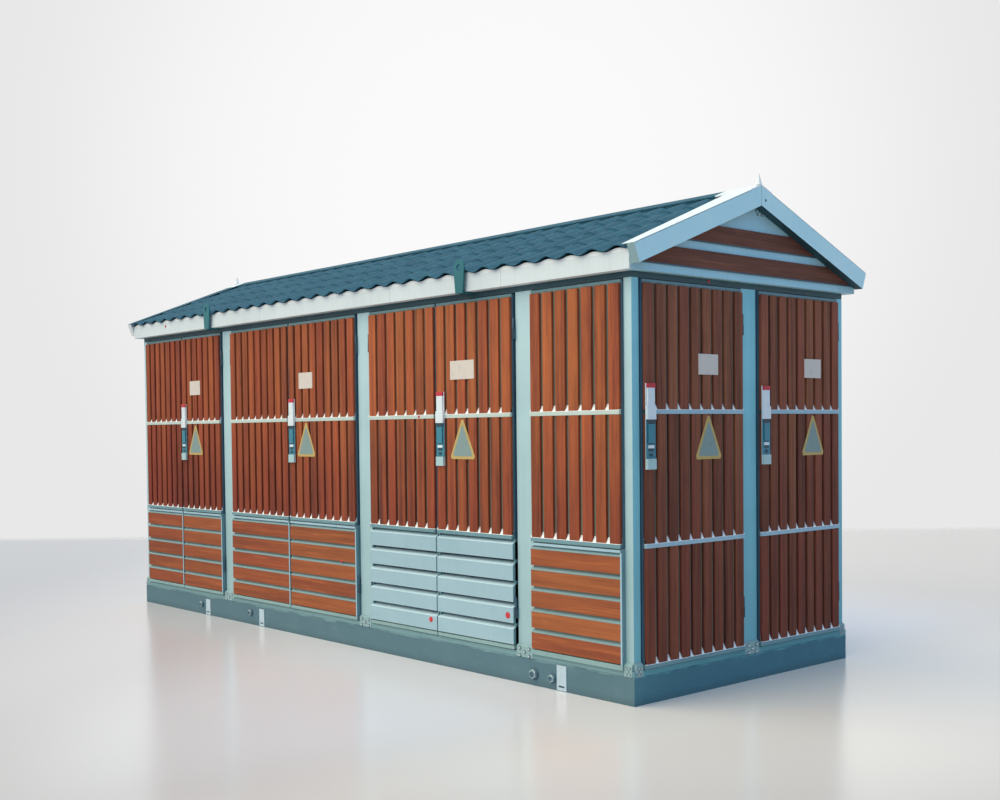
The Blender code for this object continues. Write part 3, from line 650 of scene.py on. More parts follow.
LOCK_RED = MouldedFinish("lock_red", "lock_paint", tone(205, 40, 60))
LOCK_RECESS = MouldedFinish("lock_recess", "lock_paint", tone(52, 130, 150))
LOCK_DARK = MouldedFinish("lock_dark", "lock_paint", tone(30, 60, 78))
LOCK_FOOT = MouldedFinish("lock_foot", "lock_paint", tone(176, 206, 206))
PLATE_PALE = MouldedFinish("plate_pale", "lock_paint", tone(184, 202, 212), 0.5)
PLATE_CREAM = MouldedFinish("plate_cream", "white_paint", tone(226, 212, 200), 0.5)
PLATE_OCHRE = MouldedFinish("plate_ochre", "white_paint", tone(198, 168, 100), 0.5)
PLATE_GREY = MouldedFinish("plate_grey", "white_paint", tone(134, 154, 152), 0.5)


# ---- Geometry Nodes


class Recipe:
    """A Geometry Nodes tree with named inputs, which ends in Realize Instances and Set Material."""

    def __init__(self, name: str, inputs: dict[str, str]) -> None:
        """Start the tree.

        Args:
            name: the tree's name.
            inputs: each input's name and socket type.
        """
        self.tree = bpy.data.node_groups.new(name, "GeometryNodeTree")
        self.canvas = Canvas(self.tree)
        faces = self.tree.interface
        faces.new_socket("Geometry", in_out="OUTPUT", socket_type="NodeSocketGeometry")
        faces.new_socket("Geometry", in_out="INPUT", socket_type="NodeSocketGeometry")
        self.keys = {
            label: faces.new_socket(label, in_out="INPUT", socket_type=kind).identifier
            for label, kind in {**inputs, "Finish": "NodeSocketMaterial"}.items()
        }
        self.source = self.canvas.node("NodeGroupInput")

    def socket(self, label: str) -> bpy.types.NodeSocket:
        """The named input as a socket inside the tree."""
        return self.source.outputs[label]

    def value(self, label: str) -> Signal:
        """The named input as a number inside the tree."""
        return Signal(self.canvas, self.socket(label))

    def close(self, geometry: bpy.types.NodeSocket) -> "Recipe":
        """End the tree.

        Args:
            geometry: what the tree has made.

        Returns:
            This recipe.
        """
        real = self.canvas.node("GeometryNodeRealizeInstances", {}, {"Geometry": geometry})
        sockets = {"Geometry": real.outputs[0], "Material": self.socket("Finish")}
        dressed = self.canvas.node("GeometryNodeSetMaterial", {}, sockets)
        self.canvas.node("NodeGroupOutput", {}, {"Geometry": dressed.outputs[0]})
        return self

    def put_on(self, item: bpy.types.Object, finish: Finish, **values: object) -> None:
        """Add the tree to a piece as a modifier.

        Args:
            item: the piece.
            finish: the finish of what the tree makes.
            values: the tree's inputs, by name.
        """
        modifier = item.modifiers.new(self.tree.name, "NODES")
        modifier.node_group = self.tree
        modifier[self.keys["Finish"]] = finish.material()
        for label, value in values.items():
            modifier[self.keys[label]] = value


def row_recipe() -> Recipe:
    """Copies of the piece in an even row, each with its own value in the attribute "tone"."""
    recipe = Recipe("row_of_copies", {
        "Count": "NodeSocketInt", "Step": "NodeSocketVector", "Seed": "NodeSocketInt"})
    canvas = recipe.canvas
    line = canvas.node(
        "GeometryNodeMeshLine", {"mode": "OFFSET"},
        {"Count": recipe.socket("Count"), "Offset": recipe.socket("Step")})
    copies = canvas.node(
        "GeometryNodeInstanceOnPoints", {},
        {"Points": line.outputs[0], "Instance": recipe.socket("Geometry")})
    pick = canvas.node("FunctionNodeRandomValue", {"data_type": "FLOAT"}, {8: recipe.socket("Seed")})
    toned = canvas.node(
        "GeometryNodeStoreNamedAttribute", {"data_type": "FLOAT", "domain": "INSTANCE"},
        {"Geometry": copies.outputs[0], "Name": "tone", "Value": pick.outputs[1]})
    return recipe.close(toned.outputs[0])


def screw_recipe() -> Recipe:
    """A low cone at every point of the piece, facing along Turn and spun by chance about its own axis."""
    recipe = Recipe("screw_pattern", {
        "Radius": "NodeSocketFloat", "Depth": "NodeSocketFloat", "Sides": "NodeSocketInt",
        "Turn": "NodeSocketVector", "Seed": "NodeSocketInt"})
    canvas = recipe.canvas
    radius = recipe.value("Radius")
    head = canvas.node(
        "GeometryNodeMeshCone", {},
        {"Vertices": recipe.socket("Sides"), "Radius Bottom": radius, "Radius Top": radius * 0.82,
         "Depth": recipe.socket("Depth")})
    turned = canvas.node(
        "GeometryNodeInstanceOnPoints", {},
        {"Points": recipe.socket("Geometry"), "Instance": head.outputs[0], "Rotation": recipe.socket("Turn")})
    spin = canvas.node(
        "FunctionNodeRandomValue", {"data_type": "FLOAT"},
        {2: 0.0, 3: 2 * math.pi, 8: recipe.socket("Seed")})
    axis = canvas.node("ShaderNodeCombineXYZ", {}, {2: spin.outputs[1]})
    spun = canvas.node(
        "GeometryNodeRotateInstances", {},
        {"Instances": turned.outputs[0], "Rotation": axis.outputs[0], "Local Space": True})
    return recipe.close(spun.outputs[0])


def roof_recipe() -> Recipe:
    """A sheet of stepped tile rows: waves along the ridge, and a small step down at the foot of each row."""
    recipe = Recipe("tile_sheet", {
        "Length": "NodeSocketFloat", "Run": "NodeSocketFloat", "Ridge": "NodeSocketFloat",
        "Slope": "NodeSocketFloat", "Waves": "NodeSocketFloat", "Rise": "NodeSocketFloat",
        "Rows": "NodeSocketInt", "Steps": "NodeSocketInt", "Step Height": "NodeSocketFloat",
        "Columns": "NodeSocketInt"})
    canvas = recipe.canvas
    length, run, steps = recipe.value("Length"), recipe.value("Run"), recipe.value("Steps")
    lines = recipe.value("Rows") * steps
    grid = canvas.node(
        "GeometryNodeMeshGrid", {},
        {"Size X": length, "Size Y": lines - 1.0, "Vertices X": recipe.socket("Columns"),
         "Vertices Y": lines})
    along, down, _ = canvas.parts(canvas.node("GeometryNodeInputPosition").outputs[0])
    index = (down + (lines - 1.0) * 0.5).math("ROUND")
    row = (index / steps + 0.0005).math("FLOOR")
    part = (index - row * steps) / (steps - 1.0)
    out = (row + part) / recipe.value("Rows") * run
    phase = (along / length + 0.5) * recipe.value("Waves") * (2 * math.pi)
    wave = (1.0 - phase.math("COSINE")) * 0.5 * recipe.value("Rise")
    level = recipe.value("Ridge") - out * recipe.value("Slope") + wave + part * recipe.value("Step Height")
    place = canvas.node("ShaderNodeCombineXYZ", {}, {0: along, 1: 0.0 - out, 2: level})
    moved = canvas.node(
        "GeometryNodeSetPosition", {}, {"Geometry": grid.outputs[0], "Position": place.outputs[0]})
    return recipe.close(moved.outputs[0])


# ---- Mesh helpers


class Shape:
    """Closed solids gathered in one mesh."""

    def __init__(self) -> None:
        """Start with an empty mesh."""
        self.mesh = bmesh.new()

    def skin(self, rings: list[list[bmesh.types.BMVert]]) -> "Shape":
        """Close a row of rings into one solid.

        Args:
            rings: rings of corners with the same count, from one end to the other.

        Returns:
            This shape.
        """
        faces = [self.mesh.faces.new(rings[0]), self.mesh.faces.new(rings[-1])]
        for low, high in zip(rings, rings[1:]):
            for index in range(len(low)):
                after = (index + 1) % len(low)
                faces.append(self.mesh.faces.new([low[index], low[after], high[after], high[index]]))
        bmesh.ops.recalc_face_normals(self.mesh, faces=faces)
        return self

    def prism(self, outline: list[Pair], axis: str, start: float, end: float) -> "Shape":
        """Add a closed outline, drawn out along one axis.

        Args:
            outline: (y, z) pairs for "x", (x, z) pairs for "y" and (x, y) pairs for "z".
            axis: the axis it is drawn out along.
            start, end: where it starts and ends on that axis.

        Returns:
            This shape.
        """
        order = {"x": (2, 0, 1), "y": (0, 2, 1), "z": (0, 1, 2)}[axis]
        return self.skin([
            [self.mesh.verts.new([(a, b, c)[index] for index in order]) for a, b in outline]
            for c in (start, end)])

    def block(self, x: Pair, y: Pair, z: Pair) -> "Shape":
        """Add a box between three ranges."""
        return self.prism([(x[0], y[0]), (x[1], y[0]), (x[1], y[1]), (x[0], y[1])], "z", *z)

    def slab(self, corners: list[Triple], rise: float) -> "Shape":
        """Add a sloped slab: the corners of its underside in order, and its thickness straight up."""
        return self.skin([
            [self.mesh.verts.new((x, y, z + lift)) for x, y, z in corners] for lift in (0.0, rise)])

    def lathe(self, profile: list[Pair], centre: Triple, axis: str = "z", count: int = 20) -> "Shape":
        """Add a turned solid.

        Args:
            profile: (radius, height) pairs from one end to the other; the ends are closed.
            centre: where the axis starts.
            axis: "x", "y" or "z", the way the heights run.
            count: how many sides.

        Returns:
            This shape.
        """
        order = {"x": (2, 0, 1), "y": (1, 2, 0), "z": (0, 1, 2)}[axis]
        rings = []
        for radius, height in profile:
            ring = []
            for index in range(count):
                angle = 2 * math.pi * index / count
                raw = (radius * math.cos(angle), radius * math.sin(angle), height)
                ring.append(self.mesh.verts.new([raw[order[k]] + centre[k] for k in range(3)]))
            rings.append(ring)
        return self.skin(rings)

    def points(self, places: list[Triple]) -> "Shape":
        """Add loose points, for a recipe to put copies on."""
        for place in places:
            self.mesh.verts.new(place)
        return self

    def item(self, name: str, finish: Finish, bevel: float = 0.0, segments: int = 2) -> bpy.types.Object:
        """Turn the shape into an object.

        Args:
            name: the piece's name.
            finish: what it wears.
            bevel: the width of its rounded edges, if any.
            segments: how many faces round an edge.

        Returns:
            The new object, with its modifiers still on it.
        """
        mesh = bpy.data.meshes.new(name)
        self.mesh.to_mesh(mesh)
        self.mesh.free()
        mesh.materials.append(finish.material())
        made = bpy.data.objects.new(name, mesh)
        bpy.context.scene.collection.objects.link(made)
        if bevel:
            modifier = made.modifiers.new("edges", "BEVEL")
            modifier.width = bevel
            modifier.segments = segments
            modifier.limit_method = "ANGLE"
            modifier.angle_limit = math.radians(30)
        return made


def settle(item: bpy.types.Object, place: Matrix | None = None, smooth: bool = False) -> bpy.types.Object:
    """Turn a piece's modifiers into a plain mesh and put its place in the mesh.

    Args:
        item: the piece.
        place: the side frame it was drawn in.
        smooth: whether round faces are shaded smooth.

    Returns:
        The same piece, at the origin, with no modifiers.
    """
    if item.modifiers:
        bpy.context.view_layer.update()
        graph = bpy.context.evaluated_depsgraph_get()
        old = item.data
        item.data = bpy.data.meshes.new_from_object(item.evaluated_get(graph))
        item.modifiers.clear()
        bpy.data.meshes.remove(old)
        item.data.name = item.name
    if place is not None:
        item.data.transform(place)
    if smooth:
        item.data.shade_smooth()
        item.data.set_sharp_from_angle(angle=math.radians(35))
    return item


def carry(item: bpy.types.Object, body: str, finish: Finish, *nodes: str) -> bpy.types.Object:
    """Let a finished piece ride on its body and the nodes it stands for.

    Args:
        item: the piece.
        body: the CAD body it moves with.
        finish: its finish; not used.
        nodes: the CAD nodes that it replaces.

    Returns:
        The piece.
    """
    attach(item, body)
    if nodes:
        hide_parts(*nodes)
    LOG.info("%s rides %s, %d faces", item.name, body, len(item.data.polygons))
    return item


def mount(
    shape: Shape, name: str, body: str, place: Matrix, finish: Finish, bevel: float = 0.0, segments: int = 2,
    smooth: bool = False, nodes: tuple[str, ...] = (), recipe: Recipe | None = None, **values: object,
) -> None:
    """Finish one piece: edges, copies, plain mesh, place and ride.

    Args:
        shape: its mesh, in the side frame.
        name: its name.
        body: the CAD body it moves with.
        place: the side frame's matrix.
        finish: what it wears.
        bevel, segments: the width of its rounded edges, and the faces round them.
        smooth: whether round faces are shaded smooth.
        nodes: the CAD nodes that it replaces.
        recipe: the tree that makes copies of it or on it, if there is one.
        values: the tree's inputs, by name.
    """
    item = shape.item(name, finish, bevel, segments)
    if recipe is not None:
        recipe.put_on(item, finish, **values)
    carry(settle(item, place, smooth), body, finish, *nodes)


def dress(node: str, finish: Finish) -> None:
    """Give a CAD node a finish in its own material slots."""
    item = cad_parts[node]
    for slot in item.material_slots:
        slot.material = finish.material()
    LOG.info("%s wears %s", node, finish.name)


# ---- The walls


@dataclass(frozen=True)
class WallLevels:
    """Heights and depths that all leaves and panels share, in a side frame."""

    top: float = 2.455
    high_rail: float = 1.704
    middle_rail: float = 0.928
    low_rail: float = 0.229
    rail_height: float = 0.024
    rail_slope: float = 0.038
    top_strip: float = 0.022
    tray: float = -0.012
    slat: float = -0.030
    rail: float = -0.031
    pitch: float = 0.102
    groove: float = 0.027
    margin: float = 0.012
    nib: float = 0.004
    stile: float = 0.014
    rows: int = 5
    board_gaps: Pair = (0.007, 0.003)
    board_drop: float = 0.016
    board_sheet: float = 0.0015
    board_bar: Pair = (0.008, 0.024)
    hood_gap: float = 0.014
    hood_slope: float = 0.022
    hood_sheet: float = 0.003
    side_skin: float = 0.002
    overlap: float = 0.002
    edge_bevel: float = 0.0008
    rail_bevel: float = 0.0012
    hinges: Pair = (0.470, 2.235)
    hinge_axis: Pair = (0.007, -0.013)
    knuckle: Pair = (0.0065, 0.065)
    wing: Triple = (0.013, -0.0145, -0.0115)


@dataclass
class Recipes:
    """The Geometry Nodes trees that the sub-assemblies share."""

    row: Recipe = field(default_factory=row_recipe)
    screws: Recipe = field(default_factory=screw_recipe)
    roof: Recipe = field(default_factory=roof_recipe)

    def put_screws(self, name: str, side: Side, places: list[Triple], radius: float) -> None:
        """Set screws on a wall of the housing: a dark washer, partly painted shade round the head, and a
        bright head at each place.

        Args:
            name: the piece's name.
            side: the wall whose side frame holds the places.
            places: where the washers sit; they face outwards.
            radius: the head's radius.
        """
        turn = (math.radians(90), 0.0, 0.0)
        # the dark washers are partly painted shade round the heads
        layers = (("washers", DARK_TRIM_AND_SHADE, 1.5, 0.0020, 12, 0.0), ("heads", ZINC, 1.0, 0.0040, 6, 0.0015))
        for label, finish, share, depth, count, lift in layers:
            raised = Shape().points([(x, y - lift, z) for x, y, z in places])
            mount(raised, name + "_" + label, HOUSING, side.matrix, finish, recipe=self.screws,
                  Radius=radius * share, Depth=depth, Sides=count, Turn=turn, Seed=len(name))


@dataclass
class Panel:
    """One leaf or fixed panel: a steel tray with rails, upright slats, and a lower section of its own."""

    recipes: Recipes
    name: str
    body: str
    side: Side
    left: float
    right: float
    lower: Lower
    bottom: float = 0.205
    back: float = 0.020
    hinge: int = 0
    seed: int = 1
    lock_reach: float = 0.0
    levels: WallLevels = WallLevels()

    def build(self) -> None:
        """Make all pieces of the panel."""
        levels = self.levels
        self.make_tray()
        self.make_rails()
        self.make_slats("upper", levels.high_rail, levels.top - levels.top_strip)
        self.make_slats("middle", levels.middle_rail, levels.high_rail - levels.rail_height)
        if self.lower is Lower.SLATS:
            self.make_slats("lower", levels.low_rail, self.low_top)
        elif self.lower is Lower.BOARDS:
            self.make_boards()
        else:
            self.make_hoods()
        if self.hinge:
            self.make_hinges()

    @property
    def low_top(self) -> float:
        """The upper end of the lowest section."""
        return self.levels.middle_rail - self.levels.rail_height

    @property
    def shade(self) -> int:
        """Which edge carries the painted shade: 1 for the right edge on the long walls, -1 for the left on
        the ends.
        """
        return -1 if self.side.is_end else 1

    @property
    def rail_finish(self) -> Finish:
        """The finish of the rails and of the light edge; on the end walls a bluer, darker copy that paints
        their shade.
        """
        return PANEL_BLUE_AND_SHADE if self.side.is_end else PANEL

    def clear_span(self) -> Pair:
        """Where rails start and end: short of the dark edge by the margin, and of the other by a nib."""
        levels = self.levels
        if self.shade > 0:
            return self.left + levels.nib, self.right - levels.margin
        return self.left + levels.margin, self.right - levels.nib

    def add(
        self, shape: Shape, label: str, finish: Finish, bevel: float = 0.0, segments: int = 2, **more: object,
    ) -> None:
        """Mount one piece on the panel.

        Args:
            shape: its mesh, in the side frame.
            label: what is added to the panel's name.
            finish: its finish.
            bevel, segments: the width of its rounded edges, and the faces round them.
            more: further values of mount().
        """
        mount(shape, self.name + "_" + label, self.body, self.side.matrix, finish, bevel, segments, **more)

    def add_rows(self, shape: Shape, label: str, finish: Finish, pitch: float, bevel: float = 0.0) -> None:
        """Mount one row of the lower section and repeat it upwards.

        Args:
            shape: the lowest row's mesh.
            label: what is added to the panel's name.
            finish: its finish.
            pitch: the step from row to row.
            bevel: the width of its rounded edges.
        """
        self.add(shape, label, finish, bevel, recipe=self.recipes.row, Count=self.levels.rows,
                 Step=(0.0, 0.0, pitch), Seed=self.seed)

    def make_tray(self) -> None:
        """Make the tray, whose face shows in the grooves in a darker coating that paints their shade, and its
        edge bars.

        The bar on the shaded edge, painted shade, is dark beside slats and lighter beside boards and hoods;
        beside boards it also closes their ends.
        """
        levels = self.levels
        hoods = self.lower is Lower.HOODS
        depth = (levels.tray, self.back)
        inner = (self.left + levels.margin, self.right - levels.margin)
        bars = {-1: (self.left, inner[0]), 1: (inner[1], self.right)}
        bottom = levels.low_rail if hoods else self.bottom
        split = bottom if self.lower is Lower.SLATS else self.low_top
        tray = Shape().block(inner, depth, (self.low_top if hoods else self.bottom, levels.top))
        self.add(tray, "tray", TRAY_SHADE, nodes=(self.name,))
        if split > bottom:
            flank = Shape().block(bars[self.shade], depth, (bottom, split - GAP))
            if not hoods:
                flank.block((self.right - levels.side_skin, self.right), (levels.rail + 2 * GAP, levels.tray),
                            (levels.low_rail, split))
            # painted shade beside boards and hoods
            self.add(flank, "flank", PANEL_DARK_AND_SHADE, levels.edge_bevel)
        # painted shade: the bar on the shaded edge
        dark = Shape().block(bars[self.shade], depth, (split, levels.top))
        light = Shape().block(bars[-self.shade], depth, (bottom, levels.top))
        self.add(dark, "dark_edge", DARK_TRIM_AND_SHADE, levels.edge_bevel)
        self.add(light, "light_edge", PANEL_DARK_AND_SHADE if hoods else self.rail_finish, levels.edge_bevel)

    def make_rails(self) -> None:
        """Make the cross rails with their white drip slopes, partly a painted highlight, the top strip in the
        eave's painted shade, the edging and the foot rail.
        """
        levels = self.levels
        span = self.clear_span()
        high_span = (self.left + self.lock_reach if self.lock_reach else span[0], span[1])
        depth = (levels.rail, levels.tray)
        # the top strip, darker as the eave's painted shade, and beside boards and hoods the middle rail in
        # the same coating
        darker_strips = Shape().block(
            span, (levels.tray - 0.0015, levels.tray), (levels.top - levels.top_strip + 0.004, levels.top))
        rails = Shape().block(high_span, depth, (levels.high_rail - levels.rail_height, levels.high_rail))
        middle = rails if self.lower is Lower.SLATS else darker_strips
        middle.block(span, depth, (self.low_top, levels.middle_rail))
        if self.lower is Lower.BOARDS:
            drop, rise = levels.board_bar
            edging = Shape().block(
                span, (levels.slat, levels.tray), (self.low_top - rise, self.low_top - drop))
            edging.block(
                (self.right - levels.stile, self.right - levels.side_skin), (levels.rail + GAP, levels.tray),
                (levels.low_rail + GAP, self.low_top - rise - GAP))
            self.add(edging, "board_edging", PANEL_BLUE_AND_SHADE, levels.rail_bevel)
        ledges = [(levels.high_rail, high_span), (levels.middle_rail, span)]
        if self.lower is Lower.SLATS:
            ledges.append((levels.low_rail, span))
        drips = Shape()
        for level, reach in ledges:
            slope = [(levels.rail, level), (levels.tray, level), (levels.tray, level + levels.rail_slope)]
            drips.prism(slope, "x", *reach)
        self.add(rails, "rails", self.rail_finish, levels.rail_bevel)
        self.add(darker_strips, "dull_rails", PANEL_DARK_AND_SHADE, levels.rail_bevel)
        # the drips' white is partly a painted highlight of their sloped tops
        self.add(drips, "drips", WHITE_AND_HIGHLIGHT)
        foot_depth = (levels.rail + 0.003, self.back) if self.lower is Lower.HOODS else depth
        foot = Shape().block((self.left, self.right), foot_depth, (self.bottom, levels.low_rail - GAP))
        # on the end walls the foot rail wears the darker coating, as painted shade
        self.add(foot, "foot_rail", PANEL_DARK_AND_SHADE if self.side.is_end else SILL, levels.rail_bevel)

    def make_slats(self, label: str, low: float, high: float) -> None:
        """Make one section's upright slats.

        Args:
            label: the section's name.
            low, high: the section's clear height.
        """
        levels = self.levels
        width = self.right - self.left
        count = round(width / levels.pitch)
        pitch = (width - 2 * levels.margin + levels.groove) / count
        start = self.left + levels.margin
        slat = Shape().block(
            (start, start + pitch - levels.groove), (levels.slat, levels.tray + levels.overlap),
            (low + GAP, high - GAP))
        # the end walls' slats wear the darker wood, as painted shade
        self.add(
            slat, "slats_" + label, SHADED_WOOD if self.side.is_end else FRONT_WOOD, 0.003, 3,
            recipe=self.recipes.row, Count=count, Step=(pitch, 0.0, 0.0), Seed=self.seed * 7 + len(label))

    def make_boards(self) -> None:
        """Make the level boards, each with a light drip strip that slopes back to the tray."""
        levels = self.levels
        skin = levels.board_sheet
        pitch = (self.low_top - levels.board_bar[1] - levels.low_rail) / levels.rows
        base = levels.low_rail + levels.board_gaps[0]
        crown = levels.low_rail + pitch - levels.board_gaps[1]
        shoulder = crown - levels.board_drop
        inner = levels.tray + levels.overlap
        face, lining = levels.slat - 0.0008, levels.slat + 0.0004
        span = (self.left + 0.003, self.right - levels.stile - GAP)
        boards = Shape().prism([
            (levels.slat, base), (levels.slat, shoulder - skin), (levels.tray, crown - skin),
            (inner, crown - skin), (inner, base)], "x", *span)
        strips = Shape().prism([
            (face, shoulder - 2.5 * skin), (face, shoulder), (levels.tray, crown),
            (levels.tray, crown - skin + 0.0002), (lining, shoulder - skin + 0.0002),
            (lining, shoulder - 2.5 * skin)], "x", *span)
        self.add_rows(boards, "boards", BOARD_WOOD, pitch, 0.0025)
        self.add_rows(strips, "strips", STRIP, pitch)

    def make_hoods(self) -> None:
        """Make the folded hoods of an open louvre, with closed ends, the shaded end darker as painted shade,
        and brighter sloped tops as a painted highlight.
        """
        levels = self.levels
        sheet = levels.hood_sheet
        pitch = (self.low_top - levels.low_rail) / levels.rows
        base = levels.low_rail + levels.hood_gap / 2
        crown = base + pitch - levels.hood_gap
        shoulder = crown - levels.hood_slope
        front, inner = levels.slat, self.back - sheet
        lip = front + 0.012
        span = (self.left + sheet, self.right - sheet)
        face = Shape().prism([
            (front, base), (front, shoulder), (inner, crown), (inner, crown - sheet),
            (front + sheet, shoulder - sheet), (front + sheet, base + sheet), (lip, base + sheet),
            (lip, base)], "x", *span)
        tops = Shape().prism([
            (front - 0.0006, shoulder - 0.003), (front - 0.0006, shoulder + 0.0008), (inner, crown + 0.0008),
            (inner, crown + 0.0002), (front + 0.0002, shoulder + 0.0002), (front - 0.0001, shoulder - 0.003)],
            "x", *span)
        self.add_rows(face, "hoods", HOOD, pitch, 0.001)
        self.add_rows(tops, "hood_tops", HOOD_HIGHLIGHT, pitch)
        cheek = [(front, base), (front, shoulder), (inner, crown), (inner, base)]
        ends = {-1: (self.left, span[0]), 1: (span[1], self.right)}
        # painted shade on the hood ends at the shaded edge
        for label, edge, finish in (("dark", self.shade, PANEL_DARK_AND_SHADE), ("light", -self.shade, HOOD)):
            self.add_rows(Shape().prism(cheek, "x", *ends[edge]), "hood_ends_" + label, finish, pitch)

    def make_hinges(self) -> None:
        """Make the leaf's knuckles and wings on its hinge edge."""
        levels = self.levels
        offset, depth = levels.hinge_axis
        radius, tall = levels.knuckle
        reach, outer, inner = levels.wing
        axis = (self.left if self.hinge > 0 else self.right) - self.hinge * offset
        wing = tuple(sorted((axis, axis + self.hinge * reach)))
        profile = [(radius * 0.8, 0.0), (radius, 0.001), (radius, tall - 0.003), (radius * 0.8, tall)]
        shape = Shape()
        for level in levels.hinges:
            shape.lathe(profile, (axis, depth, level + GAP))
            shape.block(wing, (outer, inner), (level + GAP, level + GAP + tall))
        self.add(shape, "hinges", DARK_TRIM_AND_SHADE, smooth=True)


@dataclass
class Lock:
    """A swing-handle lock: white body in steps, red cap, teal recess with its lever, and a keyhole."""

    node: str
    body: str
    side: Side
    centre: float
    bottom: float = 1.360
    back: float = -0.0313
    half: float = 0.039
    keyhole: Pair = (0.084, 0.0095)
    squeeze: Triple = (1.25, 1.0, 0.75)

    def piece(self, label: str, finish: Finish, bevel: float, boxes: list[tuple], *nodes: str) -> None:
        """Make one piece of stacked blocks.

        Args:
            label: what is added to the node's name.
            finish: its finish.
            bevel: the width of its rounded edges.
            boxes: (how much narrower than the case on each side, depth it starts at, depth it ends at, low,
                high) of each block, the depths outwards from the leaf and the heights from the lock's foot.
            nodes: the CAD nodes that it replaces.
        """
        shape = Shape()
        for inset, inner, outer, low, high in boxes:
            half = self.half - inset
            shape.block((self.centre - half, self.centre + half), (self.back - outer, self.back - inner),
                        (self.bottom + low, self.bottom + high))
        mount(shape, self.node + "_" + label, self.body, self.side.matrix, finish, bevel, 3, nodes=nodes)

    def build(self) -> None:
        """Make the lock's pieces."""
        self.piece("case", LOCK_WHITE, 0.0015, [
            (0.0, 0.0, 0.006, 0.0, 0.497), (0.0, 0.0055, 0.018, 0.288, 0.367),
            (0.008, 0.0055, 0.0150, 0.366, 0.474)], self.node)
        self.piece("foot", LOCK_FOOT, 0.0015, [(0.0, 0.0050, 0.018, 0.0003, 0.062)])
        self.piece("recess", LOCK_RECESS, 0.0012, [
            (-0.002, 0.0050, 0.0095, 0.0625, 0.2875), (0.012, 0.0090, 0.0160, 0.150, 0.262)])
        self.piece("bar", LOCK_WHITE, 0.0008, [(0.014, 0.0090, 0.0130, 0.122, 0.140)])
        self.piece("frame", LOCK_DARK, 0.0005, [
            (0.004, 0.0090, 0.0125, 0.266, 0.286), (0.008, 0.0090, 0.0105, 0.146, 0.266),
            (0.016, 0.0090, 0.0110, 0.104, 0.120)])
        self.piece("cap", LOCK_RED, 0.002, [(0.005, 0.001, 0.0165, 0.4700, 0.4968)])
        oval = Shape().lathe([(0.013, 0.0), (0.013, -0.0035), (0.009, -0.0045)], (0.0, 0.0, 0.0), "y")
        rise, depth = self.keyhole
        place = self.side.matrix @ Matrix.Translation((self.centre, self.back - depth, self.bottom + rise))
        place = place @ Matrix.Diagonal((*self.squeeze, 1.0))
        mount(oval, self.node + "_keyhole", self.body, place, LOCK_DARK, smooth=True)


@dataclass
class Plate:
    """A bare plate on the slats: a rectangle, or a triangle with a border."""

    name: str
    body: str
    side: Side
    x: float
    z: float
    width: float
    height: float
    triangle: bool = False
    border: float = 0.019
    corner: float = 0.07
    face: float = -0.0301
    thickness: float = 0.0022

    def build(self) -> None:
        """Make the plate."""
        outer = self.face - self.thickness
        if self.triangle:
            slant = math.hypot(self.width / 2, self.height)
            inradius = self.width * self.height / (self.width + 2 * slant)
            self.layer("border", PLATE_OCHRE, 1.0, inradius, (outer, self.face))
            depth = (outer - 0.0006, outer + 0.0005)
            self.layer("field", PLATE_GREY, 1 - self.border / inradius, inradius, depth)
            return
        half, tall = self.width / 2, self.height / 2
        shape = Shape().block(
            (self.x - half, self.x + half), (outer, self.face), (self.z - tall, self.z + tall))
        mount(shape, self.name, self.body, self.side.matrix, PLATE_CREAM, 0.0008)

    def layer(self, label: str, finish: Finish, share: float, inradius: float, depth: Pair) -> None:
        """Make one triangular layer with cut corners, shrunk about the triangle's incentre.

        Args:
            label: the layer's name.
            finish: its finish.
            share: its size as a share of the whole plate.
            inradius: the height of the incentre over the base.
            depth: where it starts and ends.
        """
        base = self.z - self.height / 2 + inradius * (1 - share)
        half = self.width / 2 * share
        corners = [(self.x - half, base), (self.x + half, base), (self.x, base + self.height * share)]
        outline = []
        for index, corner in enumerate(corners):
            for other in (corners[index - 1], corners[(index + 1) % 3]):
                outline.append(tuple(a + (b - a) * self.corner for a, b in zip(corner, other)))
        shape = Shape().prism(outline, "y", *depth)
        mount(shape, self.name + "_" + label, self.body, self.side.matrix, finish, 0.0005)


